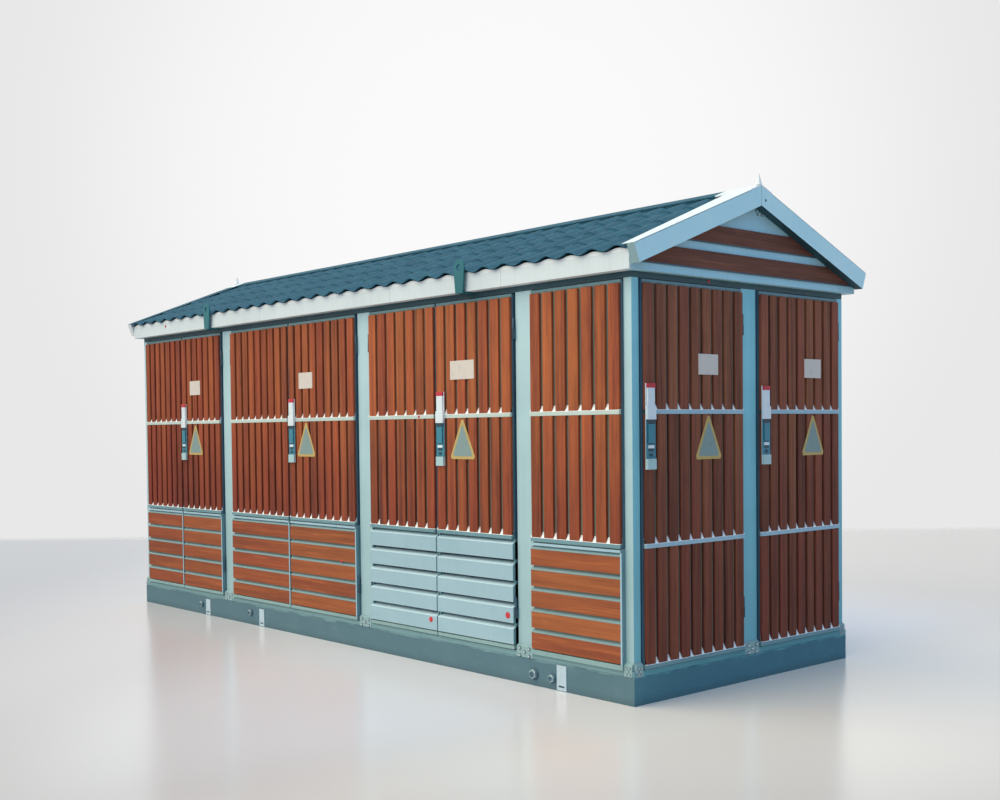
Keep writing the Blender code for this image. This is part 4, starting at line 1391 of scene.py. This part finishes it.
@dataclass
class Walls:
    """All four walls: leaves, panels, posts, headers, locks and plates."""

    recipes: Recipes
    bays: tuple[Pair, ...] = ((-2.984, -1.574), (-1.429, 0.391), (0.536, 2.081), (2.226, 2.984))
    end_bays: tuple[Pair, ...] = ((-1.014, -0.0475), (0.0975, 1.014))
    lowers: tuple[Lower, ...] = (Lower.BOARDS, Lower.BOARDS, Lower.HOODS)
    hinge_gap: float = 0.014
    meeting_gap: float = 0.008
    front_inset: float = 0.061
    end_inset: float = 0.047
    fixed_bottom: float = 0.1993
    fixed_back: float = 0.0254
    triangle: Triple = (1.547, 0.262, 0.280)
    front_plates: tuple[Pair, ...] = ((-2.019, 0.185), (-0.262, 0.190), (1.594, 0.240))
    front_plate: Pair = (1.996, 0.124)
    end_plates: tuple[Pair, ...] = ((-0.419, 0.188), (0.680, 0.188))
    end_plate: Pair = (1.978, 0.124)
    caps: tuple[tuple, ...] = (
        ("front_door_3_right", "front_door_3_right", Side.FRONT, (2.014, -0.0300, 0.418), 0.021),
        ("front_door_3_left", "front_door_3_left", Side.FRONT, (1.239, -0.0300, 0.306), 0.019),
        ("front_door_3_rail", "front_door_3_left", Side.FRONT, (1.136, -0.0310, 1.694), 0.010),
        ("front_door_2_board", "front_door_2_right", Side.FRONT, (0.186, -0.0300, 0.628), 0.011),
        ("fascia", HOUSING, Side.FRONT, (-2.460, -0.0760, 2.569), 0.013),
        ("header", HOUSING, Side.RIGHT, (-0.371, 0.0000, 2.483), 0.011),
    )

    def leaf_width(self, left: float, right: float) -> float:
        """The width of each leaf of a pair."""
        return (right - left - 2 * self.hinge_gap - self.meeting_gap) / 2

    def panels(self) -> list[Panel]:
        """List every leaf and panel."""
        made = []
        for number, ((left, right), lower) in enumerate(zip(self.bays, self.lowers), start=1):
            width = self.leaf_width(left, right)
            start, end = left + self.hinge_gap, right - self.hinge_gap
            for label, low, hinge, seed, reach in (
                ("_left", start, 1, number, 0.0), ("_right", end - width, -1, number + 10, self.front_inset),
            ):
                name = "front_door_" + str(number) + label
                made.append(Panel(self.recipes, name, name, Side.FRONT, low, low + width, lower,
                                  hinge=hinge, seed=seed, lock_reach=reach))
        for number, (left, right) in enumerate(self.end_bays, start=1):
            name = "end_door_" + str(number)
            made.append(Panel(self.recipes, name, name, Side.RIGHT, left + self.meeting_gap,
                              right - self.hinge_gap, Lower.SLATS, hinge=-1, seed=number + 20,
                              lock_reach=self.end_inset))
        fixed = [("front_panel_4", Side.FRONT, self.bays[3], Lower.BOARDS)]
        fixed += [
            ("back_panel_" + str(number), Side.BACK, (-right, -left), Lower.BOARDS)
            for number, (left, right) in enumerate(reversed(self.bays), start=1)]
        fixed += [
            ("left_panel_" + str(number), Side.LEFT, bay, Lower.SLATS)
            for number, bay in enumerate(self.end_bays, start=1)]
        for number, (name, side, (left, right), lower) in enumerate(fixed):
            made.append(Panel(self.recipes, name, HOUSING, side, left + GAP, right - GAP, lower,
                              bottom=self.fixed_bottom, back=self.fixed_back, seed=number + 30))
        return made

    def build(self) -> None:
        """Make the walls."""
        for panel in self.panels():
            panel.build()
        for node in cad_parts:
            if "post" in node:
                dress(node, POST)
            elif node.startswith("header_"):
                dress(node, HEADER)
        for number, (left, right) in enumerate(self.bays[:3], start=1):
            edge = right - self.hinge_gap - self.leaf_width(left, right)
            name = "front_door_" + str(number) + "_right"
            Lock("front_lock_" + str(number), name, Side.FRONT, edge + self.front_inset).build()
        for number, (left, _) in enumerate(self.end_bays, start=1):
            centre = left + self.meeting_gap + self.end_inset
            Lock("end_lock_" + str(number), "end_door_" + str(number), Side.RIGHT, centre).build()
        for number, plate in enumerate(self.front_plates, start=1):
            self.make_plates("front_door_" + str(number) + "_right", Side.FRONT, *plate, *self.front_plate)
        for number, plate in enumerate(self.end_plates, start=1):
            self.make_plates("end_door_" + str(number), Side.RIGHT, *plate, *self.end_plate)
        self.make_caps()

    def make_plates(self, name: str, side: Side, x: float, width: float, z: float, height: float) -> None:
        """Make the two bare plates of a leaf with a lock.

        Args:
            name: the leaf.
            side: its wall.
            x: the middle of both plates.
            width, z, height: the rectangle's width, middle and height.
        """
        Plate(name + "_plate", name, side, x, z, width, height).build()
        Plate(name + "_triangle", name, side, x, *self.triangle, triangle=True).build()

    def make_caps(self) -> None:
        """Make the small red caps on hoods, rails and frame."""
        for name, body, side, place, radius in self.caps:
            profile = [(radius, 0.0), (radius, -0.0012), (radius * 0.8, -0.0026), (radius * 0.3, -0.0032)]
            shape = Shape().lathe(profile, place, "y", 16)
            mount(shape, "red_cap_" + name, body, side.matrix, CAP_RED, smooth=True)


@dataclass
class Plinth:
    """The plinth beams with their stubs, bare plates and the feet of the posts."""

    recipes: Recipes
    posts: tuple[float, ...] = (-1.5015, 0.4635, 2.1535)
    end_post: float = 0.025
    half_post: float = 0.0725
    corners: Pair = (2.984, 3.044)
    end_corners: Pair = (1.014, 1.074)
    foot_levels: Triple = (0.166, 0.232, 0.250)
    foot_face: float = -0.0190
    wide_screws: Triple = (0.042, 0.023, 0.0085)
    small_screws: Triple = (0.012, 0.018, 0.0048)
    face: float = -0.0162
    stubs: tuple[Triple, ...] = ((-1.979, 0.090, 0.028), (-1.150, 0.100, 0.030), (2.237, 0.074, 0.038),
                                 (2.398, 0.070, 0.031))
    labels: tuple[Triple, ...] = ((-1.870, 0.075, 0.135), (-0.980, 0.075, 0.140), (2.4775, 0.081, 0.154))

    def build(self) -> None:
        """Make the plinth's dress and fittings."""
        for node in ("plinth_front", "plinth_back", "plinth_left", "plinth_right"):
            dress(node, PLINTH)
        dress("floor_plate", FLOOR_STEEL)
        long_feet = [(x - self.half_post, x + self.half_post) for x in self.posts]
        back_feet = [(-right, -left) for left, right in long_feet]
        end_foot = (self.end_post - self.half_post, self.end_post + self.half_post)
        for side, feet, corner in (
            (Side.FRONT, long_feet, self.corners), (Side.BACK, back_feet, self.corners),
            (Side.RIGHT, [end_foot], self.end_corners), (Side.LEFT, [end_foot], self.end_corners),
        ):
            self.feet(side, feet, corner)
        self.make_stubs()
        self.make_labels()

    def feet(self, side: Side, feet: list[Pair], corner: Pair) -> None:
        """Make the feet of a wall's posts and corners, with their screws.

        Args:
            side: the wall.
            feet: the left and right edges of its middle posts.
            corner: the inner and outer edge of its right corner post.
        """
        low, high, top = self.foot_levels
        face = self.foot_face
        middle = (low + high) / 2
        shape = Shape()
        places, small = [], []
        for left, right in (*feet, corner, (-corner[1], -corner[0])):
            shape.prism([(face, low), (-0.0001, low), (-0.0001, top), (face, high)], "x", left, right)
            wide = right - left > 0.1
            centre = (left + right) / 2 + (0.0 if wide else math.copysign(0.002, left))
            across, rise, _ = self.wide_screws if wide else self.small_screws
            spots = places if wide else small
            spots.append((centre, face, middle))
            spots += [(centre + x, face, middle + z) for x in (-across, across) for z in (-rise, rise)]
        label = side.name.lower()
        mount(shape, "post_feet_" + label, HOUSING, side.matrix, FOOT, 0.0008)
        self.recipes.put_screws("foot_screws_" + label, side, places, self.wide_screws[2])
        self.recipes.put_screws("corner_screws_" + label, side, small, self.small_screws[2])

    def make_stubs(self) -> None:
        """Make the earthing and lifting stubs: a collar, a six-sided nut and a dark end that paints the shade
        of the hollow end.
        """
        # the dark ends are painted shade in the stubs' hollow ends
        layers = (
            ("collars", DARK_TRIM_AND_SHADE, 24, ((1.0, 0.0), (1.0, -0.004), (0.9, -0.006))),
            ("nuts", STUB, 6, ((0.82, -0.005), (0.82, -0.020), (0.66, -0.024))),
            ("ends", DARK_TRIM_AND_SHADE, 20, ((0.50, -0.022), (0.50, -0.0262), (0.40, -0.0268))))
        for label, finish, count, profile in layers:
            shape = Shape()
            for x, z, radius in self.stubs:
                turned = [(radius * share, rise) for share, rise in profile]
                shape.lathe(turned, (x, self.face, z), "y", count)
            mount(shape, "plinth_stub_" + label, HOUSING, Side.FRONT.matrix, finish, 0.0008, smooth=True)

    def make_labels(self) -> None:
        """Make the bare white plates of the plinth, each with a slotted foot."""
        plates, slots = Shape(), Shape()
        low = 0.004
        for x, width, height in self.labels:
            half, slot = width / 2, width * 0.3
            plates.block((x - half, x + half), (self.face - 0.004, self.face), (low, low + height))
            slots.block(
                (x - slot, x + slot), (self.face - 0.0048, self.face - 0.0030), (low + 0.020, low + 0.030))
        mount(plates, "plinth_plates", HOUSING, Side.FRONT.matrix, PLATE_PALE, 0.001)
        mount(slots, "plinth_plate_slots", HOUSING, Side.FRONT.matrix, LOCK_DARK)


@dataclass
class Roof:
    """Tile-effect sheets, ridge cap, finials, fascias, gables, barges, flashings and lifting lugs."""

    recipes: Recipes
    half_length: float = 3.105
    eave: float = 1.170
    ridge: float = 3.041
    slope: float = 0.385
    waves: int = 33
    rows: int = 4
    steps: int = 5
    columns: int = 16
    rise: float = 0.024
    tile_step: float = 0.010
    tile_lift: float = 0.006
    sheet: float = 0.005
    fascia_levels: Pair = (2.497, 2.598)
    fascia_face: float = -0.076
    fascia_half: float = 3.097
    soffit_half: float = 3.0437
    seams: tuple[float, ...] = (-0.85, 0.88, 2.03)
    closure_crown: float = 2.608
    closure_share: float = 0.55
    closure_points: int = 12
    ridge_strip: Pair = (0.100, 0.088)
    ridge_strip_levels: Pair = (3.008, 3.044)
    gable_face: float = -0.053
    gable_half: float = 1.1347
    gable_levels: Triple = (2.497, 2.5453, 2.548)
    boards: tuple[Pair, ...] = ((2.548, 2.653), (2.708, 2.813))
    board_peak: float = 2.9785
    bracket: tuple[Pair, Pair] = ((0.353, 0.389), (2.848, 2.862))
    gable_screws: tuple[Pair, ...] = ((0.034, 2.944), (0.054, 2.922), (0.074, 2.944), (0.094, 2.922),
                                      (0.114, 2.944))
    screw_radius: float = 0.0065
    crest: float = 3.0875
    flashing: tuple[Pair, ...] = ((1.178, -0.1213), (1.178, -0.022), (0.090, 0.077), (0.090, -0.1213))

    def build(self) -> None:
        """Make the roof."""
        for name, turn in (("front", 0.0), ("back", 180.0)):
            self.make_sheet(name, turn)
        for side in (Side.FRONT, Side.BACK):
            self.make_fascia(side)
            self.make_closures(side)
        for side in (Side.RIGHT, Side.LEFT):
            self.make_gable(side)
            self.make_flashing(side)
        finishes = {"barge_": BARGE, "finial_": CAP, "ridge_cap": RIDGE, "lifting_lug_": LUG}
        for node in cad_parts:
            for start, finish in finishes.items():
                if node.startswith(start):
                    dress(node, finish)

    @property
    def stretch(self) -> float:
        """How much taller a sheet's thickness is when it is measured straight up."""
        return math.hypot(1.0, self.slope)

    def make_sheet(self, name: str, turn: float) -> None:
        """Make one roof sheet.

        Args:
            name: the slope's name.
            turn: its turn about +Z, in degrees.
        """
        item = Shape().points([(0.0, 0.0, 0.0)]).item("roof_tiles_" + name, ROOF)
        stretch = self.stretch
        self.recipes.roof.put_on(
            item, ROOF, Length=2 * self.half_length, Run=self.eave, Slope=self.slope,
            Ridge=self.ridge + self.tile_lift * stretch, Waves=float(self.waves), Rise=self.rise * stretch,
            Rows=self.rows, Steps=self.steps, Columns=self.waves * self.columns + 1,
            **{"Step Height": self.tile_step * stretch})
        wall = item.modifiers.new("wall", "SOLIDIFY")
        wall.thickness = self.sheet
        wall.offset = -1.0
        settle(item, Matrix.Rotation(math.radians(turn), 4, "Z"), True)
        carry(item, HOUSING, ROOF, "roof_sheet_" + name)

    def make_fascia(self, side: Side) -> None:
        """Make an eave board of butted lengths, with its soffit."""
        low, high = self.fascia_levels
        face = self.fascia_face
        turn = 1 if side is Side.FRONT else -1
        edges = sorted([-self.fascia_half, *[x * turn for x in self.seams], self.fascia_half])
        shape = Shape()
        for left, right in zip(edges, edges[1:]):
            shape.block((left + 0.001, right - 0.001), (face, face + 0.015), (low, high))
        shape.block((-self.soffit_half, self.soffit_half), (face + 0.012, -GAP), (low + 0.0005, low + 0.008))
        label = side.name.lower()
        mount(shape, "fascia_boards_" + label, HOUSING, side.matrix, FASCIA, 0.0015,
              nodes=("fascia_" + label,))

    def make_closures(self, side: Side) -> None:
        """Make the white teeth that close the waves at the eave, and the strip under the ridge cap."""
        pitch = 2 * self.half_length / self.waves
        base = self.fascia_levels[1] - 0.0015
        face = self.fascia_face + 0.001
        height = self.rise * self.stretch * self.closure_share
        width = pitch - 0.0004
        start = 0.0002 - self.half_length
        outline = [(start, base)]
        for index in range(self.closure_points + 1):
            share = index / self.closure_points
            wave = (1 - math.cos(2 * math.pi * share)) / 2 * height
            outline.append((start + share * width, self.closure_crown + wave))
        outline.append((start + width, base))
        label = side.name.lower()
        tooth = Shape().prism(outline, "y", face, face + 0.011)
        mount(tooth, "eave_closures_" + label, HOUSING, side.matrix, WHITE_AND_HIGHLIGHT,
              recipe=self.recipes.row, Count=self.waves, Step=(pitch, 0.0, 0.0), Seed=5)
        inner = side.value[1]
        strip = Shape().block(
            (-self.fascia_half, self.fascia_half), tuple(inner - part for part in self.ridge_strip),
            self.ridge_strip_levels)
        mount(strip, "ridge_closure_" + label, HOUSING, side.matrix, ROOF, 0.001)

    def make_gable(self, side: Side) -> None:
        """Make a gable wall with its base beam, its two wood boards, the dark strips under them that paint
        their shadow, and screws.
        """
        label = side.name.lower()
        face = self.gable_face
        half = self.gable_half
        foot, low, beam = self.gable_levels
        shoulder = self.ridge - half * self.slope - 0.0004
        wall = Shape().prism(
            [(-half, low), (half, low), (half, shoulder), (0.0, self.ridge - 0.0004), (-half, shoulder)],
            "y", face, 0.040)
        wall.block((-half, half), (face, -GAP), (foot, beam))
        wall.block(self.bracket[0], (face - 0.010, face), self.bracket[1])
        mount(wall, "gable_wall_" + label, HOUSING, side.matrix, GABLE, 0.0008, 1, nodes=("gable_" + label,))
        boards, strips = Shape(), Shape()
        for low, high in self.boards:
            wide, narrow = ((self.board_peak - level) / self.slope for level in (low, high))
            boards.prism([(-wide, low), (wide, low), (narrow, high), (-narrow, high)],
                         "y", face - 0.008, face + 0.003)
            # painted shadow: a dark strip under each board
            strips.block((-wide, wide), (face - 0.0086, face + 0.003), (low - 0.007, low + 0.0005))
        mount(boards, "gable_boards_" + label, HOUSING, side.matrix, GABLE_WOOD, 0.0015)
        mount(strips, "gable_strips_" + label, HOUSING, side.matrix, DARK_TRIM_AND_SHADE)
        places = [(x, face, z) for x, z in self.gable_screws]
        self.recipes.put_screws("gable_screws_" + label, side, places, self.screw_radius)

    def make_flashing(self, side: Side) -> None:
        """Make the sheets over the barge boards, white on the right end, which widen towards the ridge."""
        shape = Shape()
        for turn in (-1.0, 1.0):
            shape.slab([(turn * x, y, self.crest - self.slope * x) for x, y in self.flashing], 0.002)
        finish = CAP if side is Side.RIGHT else ROOF
        mount(shape, "gable_flashing_" + side.name.lower(), HOUSING, side.matrix, finish, 0.0004, 1)


@dataclass
class Studio:
    """Plain floor, lights, world and the camera at the photograph's place."""

    eye: Triple = (7.7278, -6.3868, 1.6024)
    yaw: float = 49.5174
    pitch: float = -1.6988
    roll: float = -0.668
    focal: float = 1226.84
    centre: Pair = (457.64, 466.02)
    width: float = 1000.0
    height: float = 800.0
    sensor: float = 36.0
    far: float = 8.7
    floor_half: float = 60.0
    # painted light and shade: the floor's tones offset the shade and shadow that the object casts near it,
    # and darken the floor far out
    near_floor: Rgb = (0.87, 0.76, 0.705)
    far_floor: Rgb = (0.455, 0.385, 0.348)
    front_floor: Rgb = (0.92, 0.85, 0.86)
    right_floor: Rgb = (0.98, 0.85, 0.76)
    back_floor: Rgb = (0.69, 0.586, 0.536)
    far_reach: Pair = (3.2, 7.7)
    front_zone: tuple[Pair, Pair] = ((-4.6, -1.8), (2.2, 3.6))
    right_zone: tuple[Pair, Pair] = ((2.6, 3.6), (3.5, 6.5))
    back_zone: Pair = (2.0, 5.0)
    lean: float = 0.85
    dim_zones: tuple[Triple, ...] = ((-2.6, -1.0, 0.17), (-7.0, -2.6, 0.27))
    floor_roughness: float = 0.2
    floor_gloss: float = 0.4
    sun_strength: float = 2.75
    sun_width: float = 75.0
    sun_colour: Rgb = (1.0, 0.88, 0.58)
    sun_way: Triple = (0.35, 0.75, -0.90)
    sky: Rgb = (0.20, 0.43, 0.72)
    edge_tone: Rgb = tone(232, 232, 232)
    centre_tone: Rgb = tone(250, 250, 250)
    bright_spot: Pair = (500.0, 190.0)

    def build(self) -> None:
        """Make the studio."""
        self.make_camera()
        self.make_floor()
        self.make_lights()
        scene = bpy.context.scene
        scene.view_settings.view_transform = "Standard"

    def forward(self) -> Vector:
        """The way the camera looks."""
        yaw, pitch = math.radians(self.yaw), math.radians(self.pitch)
        return Vector((
            -math.sin(yaw) * math.cos(pitch), math.cos(yaw) * math.cos(pitch), math.sin(pitch)))

    def across(self) -> tuple[Vector, Vector]:
        """The picture's right and up."""
        yaw, roll = math.radians(self.yaw), math.radians(self.roll)
        flat = Vector((math.cos(yaw), math.sin(yaw), 0.0))
        rise = flat.cross(self.forward())
        return (flat * math.cos(roll) + rise * math.sin(roll),
                rise * math.cos(roll) - flat * math.sin(roll))

    def make_camera(self) -> None:
        """Make the camera."""
        forward = self.forward()
        right, up = self.across()
        lens = bpy.data.cameras.new("camera")
        lens.sensor_width = self.sensor
        lens.lens = self.focal / self.width * self.sensor
        lens.shift_x = (self.width / 2 - self.centre[0]) / self.width
        lens.shift_y = (self.centre[1] - self.height / 2) / self.width
        camera = bpy.data.objects.new("camera", lens)
        turn = Matrix((right, up, -forward)).transposed().to_4x4()
        camera.matrix_world = Matrix.Translation(self.eye) @ turn
        bpy.context.scene.collection.objects.link(camera)
        bpy.context.scene.camera = camera

    def paint_floor(self, canvas: Canvas) -> object:
        """Draw the floor's tone, which paints light and shade: darker far out and to the left, lighter in
        front, to the right and behind.

        Args:
            canvas: the floor's tree.

        Returns:
            The colour.
        """
        place = canvas.place()
        along, across, _ = canvas.parts(place)
        made = canvas.node("ShaderNodeVectorMath", {"operation": "LENGTH"}, {0: place})
        reach = Signal(canvas, made.outputs["Value"])
        share = (reach + canvas.noise(place, 0.4, 2.0) * 0.3).ramp(*self.far_reach)
        colour = canvas.mix(share, self.near_floor, self.far_floor)
        front = across.ramp(*self.front_zone[0]) * (1.0 - along.ramp(*self.front_zone[1]))
        colour = canvas.mix(front, colour, self.front_floor)
        right = along.ramp(*self.right_zone[0]) * (1.0 - reach.ramp(*self.right_zone[1]))
        colour = canvas.mix(right, colour, self.right_floor)
        colour = canvas.mix(across.ramp(*self.back_zone), colour, self.back_floor)
        slant = along + across * self.lean
        near, far = ((1.0 - slant.ramp(start, end)) * share for start, end, share in self.dim_zones)
        return canvas.mix(near + far, colour, (0.0, 0.0, 0.0))

    def make_floor(self) -> None:
        """Make the pale floor, which ends softly behind the object."""
        material = bpy.data.materials.new("studio_floor")
        material.use_nodes = True
        material.node_tree.nodes.clear()
        canvas = Canvas(material.node_tree)
        floor = canvas.node(
            "ShaderNodeBsdfPrincipled", {},
            {"Base Color": self.paint_floor(canvas), "Roughness": self.floor_roughness,
             "Specular IOR Level": self.floor_gloss})
        glow = canvas.node("ShaderNodeBsdfTransparent")
        clear = Signal(canvas, canvas.node("ShaderNodeLightPath").outputs["Is Camera Ray"])
        forward = self.forward()
        ahead = canvas.node("ShaderNodeVectorMath", {"operation": "DOT_PRODUCT"},
                            {0: canvas.place(), 1: (forward.x, forward.y, 0.0)})
        share = Signal(canvas, ahead.outputs["Value"]).ramp(self.far - 0.5, self.far + 0.5) * clear
        mixed = canvas.node("ShaderNodeMixShader", {}, {0: share, 1: floor.outputs[0], 2: glow.outputs[0]})
        canvas.node("ShaderNodeOutputMaterial", {}, {"Surface": mixed.outputs[0]})
        mesh = bpy.data.meshes.new("floor")
        half = self.floor_half
        mesh.from_pydata(
            [(-half, -half, 0), (half, -half, 0), (half, half, 0), (-half, half, 0)], [], [(0, 1, 2, 3)])
        mesh.materials.append(material)
        floor_item = bpy.data.objects.new("studio_floor", mesh)
        bpy.context.scene.collection.objects.link(floor_item)

    def make_lights(self) -> None:
        """Make the soft warm key, and the cooler world that fills the shade."""
        key = bpy.data.lights.new("key", "SUN")
        key.energy = self.sun_strength
        key.angle = math.radians(self.sun_width)
        key.color = self.sun_colour
        item = bpy.data.objects.new("key", key)
        item.rotation_euler = Vector(self.sun_way).to_track_quat("-Z", "Y").to_euler()
        bpy.context.scene.collection.objects.link(item)
        world = bpy.data.worlds.new("studio_world")
        bpy.context.scene.world = world
        world.use_nodes = True
        world.node_tree.nodes.clear()
        canvas = Canvas(world.node_tree)
        right, up = self.across()
        spot = (self.forward() * self.focal + right * (self.bright_spot[0] - self.centre[0])
                + up * (self.centre[1] - self.bright_spot[1])).normalized()
        toward_spot = canvas.node(
            "ShaderNodeVectorMath", {"operation": "DOT_PRODUCT"},
            {0: canvas.node("ShaderNodeTexCoord").outputs["Generated"], 1: tuple(spot)})
        centre = Signal(canvas, toward_spot.outputs["Value"]).ramp(0.925, 1.0)
        backdrop = canvas.mix(centre, self.edge_tone, self.centre_tone)
        light = canvas.node("ShaderNodeBackground", {}, {"Color": self.sky})
        shown = canvas.node("ShaderNodeBackground", {}, {"Color": backdrop})
        rays = canvas.node("ShaderNodeLightPath").outputs
        seen, glossy, passed = (
            Signal(canvas, rays["Is " + kind + " Ray"]) for kind in ("Camera", "Glossy", "Transmission"))
        share = seen.high(glossy).high(passed)
        mixed = canvas.node("ShaderNodeMixShader", {}, {0: share, 1: light.outputs[0], 2: shown.outputs[0]})
        canvas.node("ShaderNodeOutputWorld", {}, {"Surface": mixed.outputs[0]})


def main() -> None:
    """Build the whole visual model, one sub-assembly after another."""
    logging.basicConfig(level=logging.INFO, format="%(message)s")
    recipes = Recipes()
    for assembly in (Walls, Plinth, Roof):
        LOG.info("building %s", assembly.__name__)
        assembly(recipes).build()
    Studio().build()


if __name__ == "__main__":
    main()
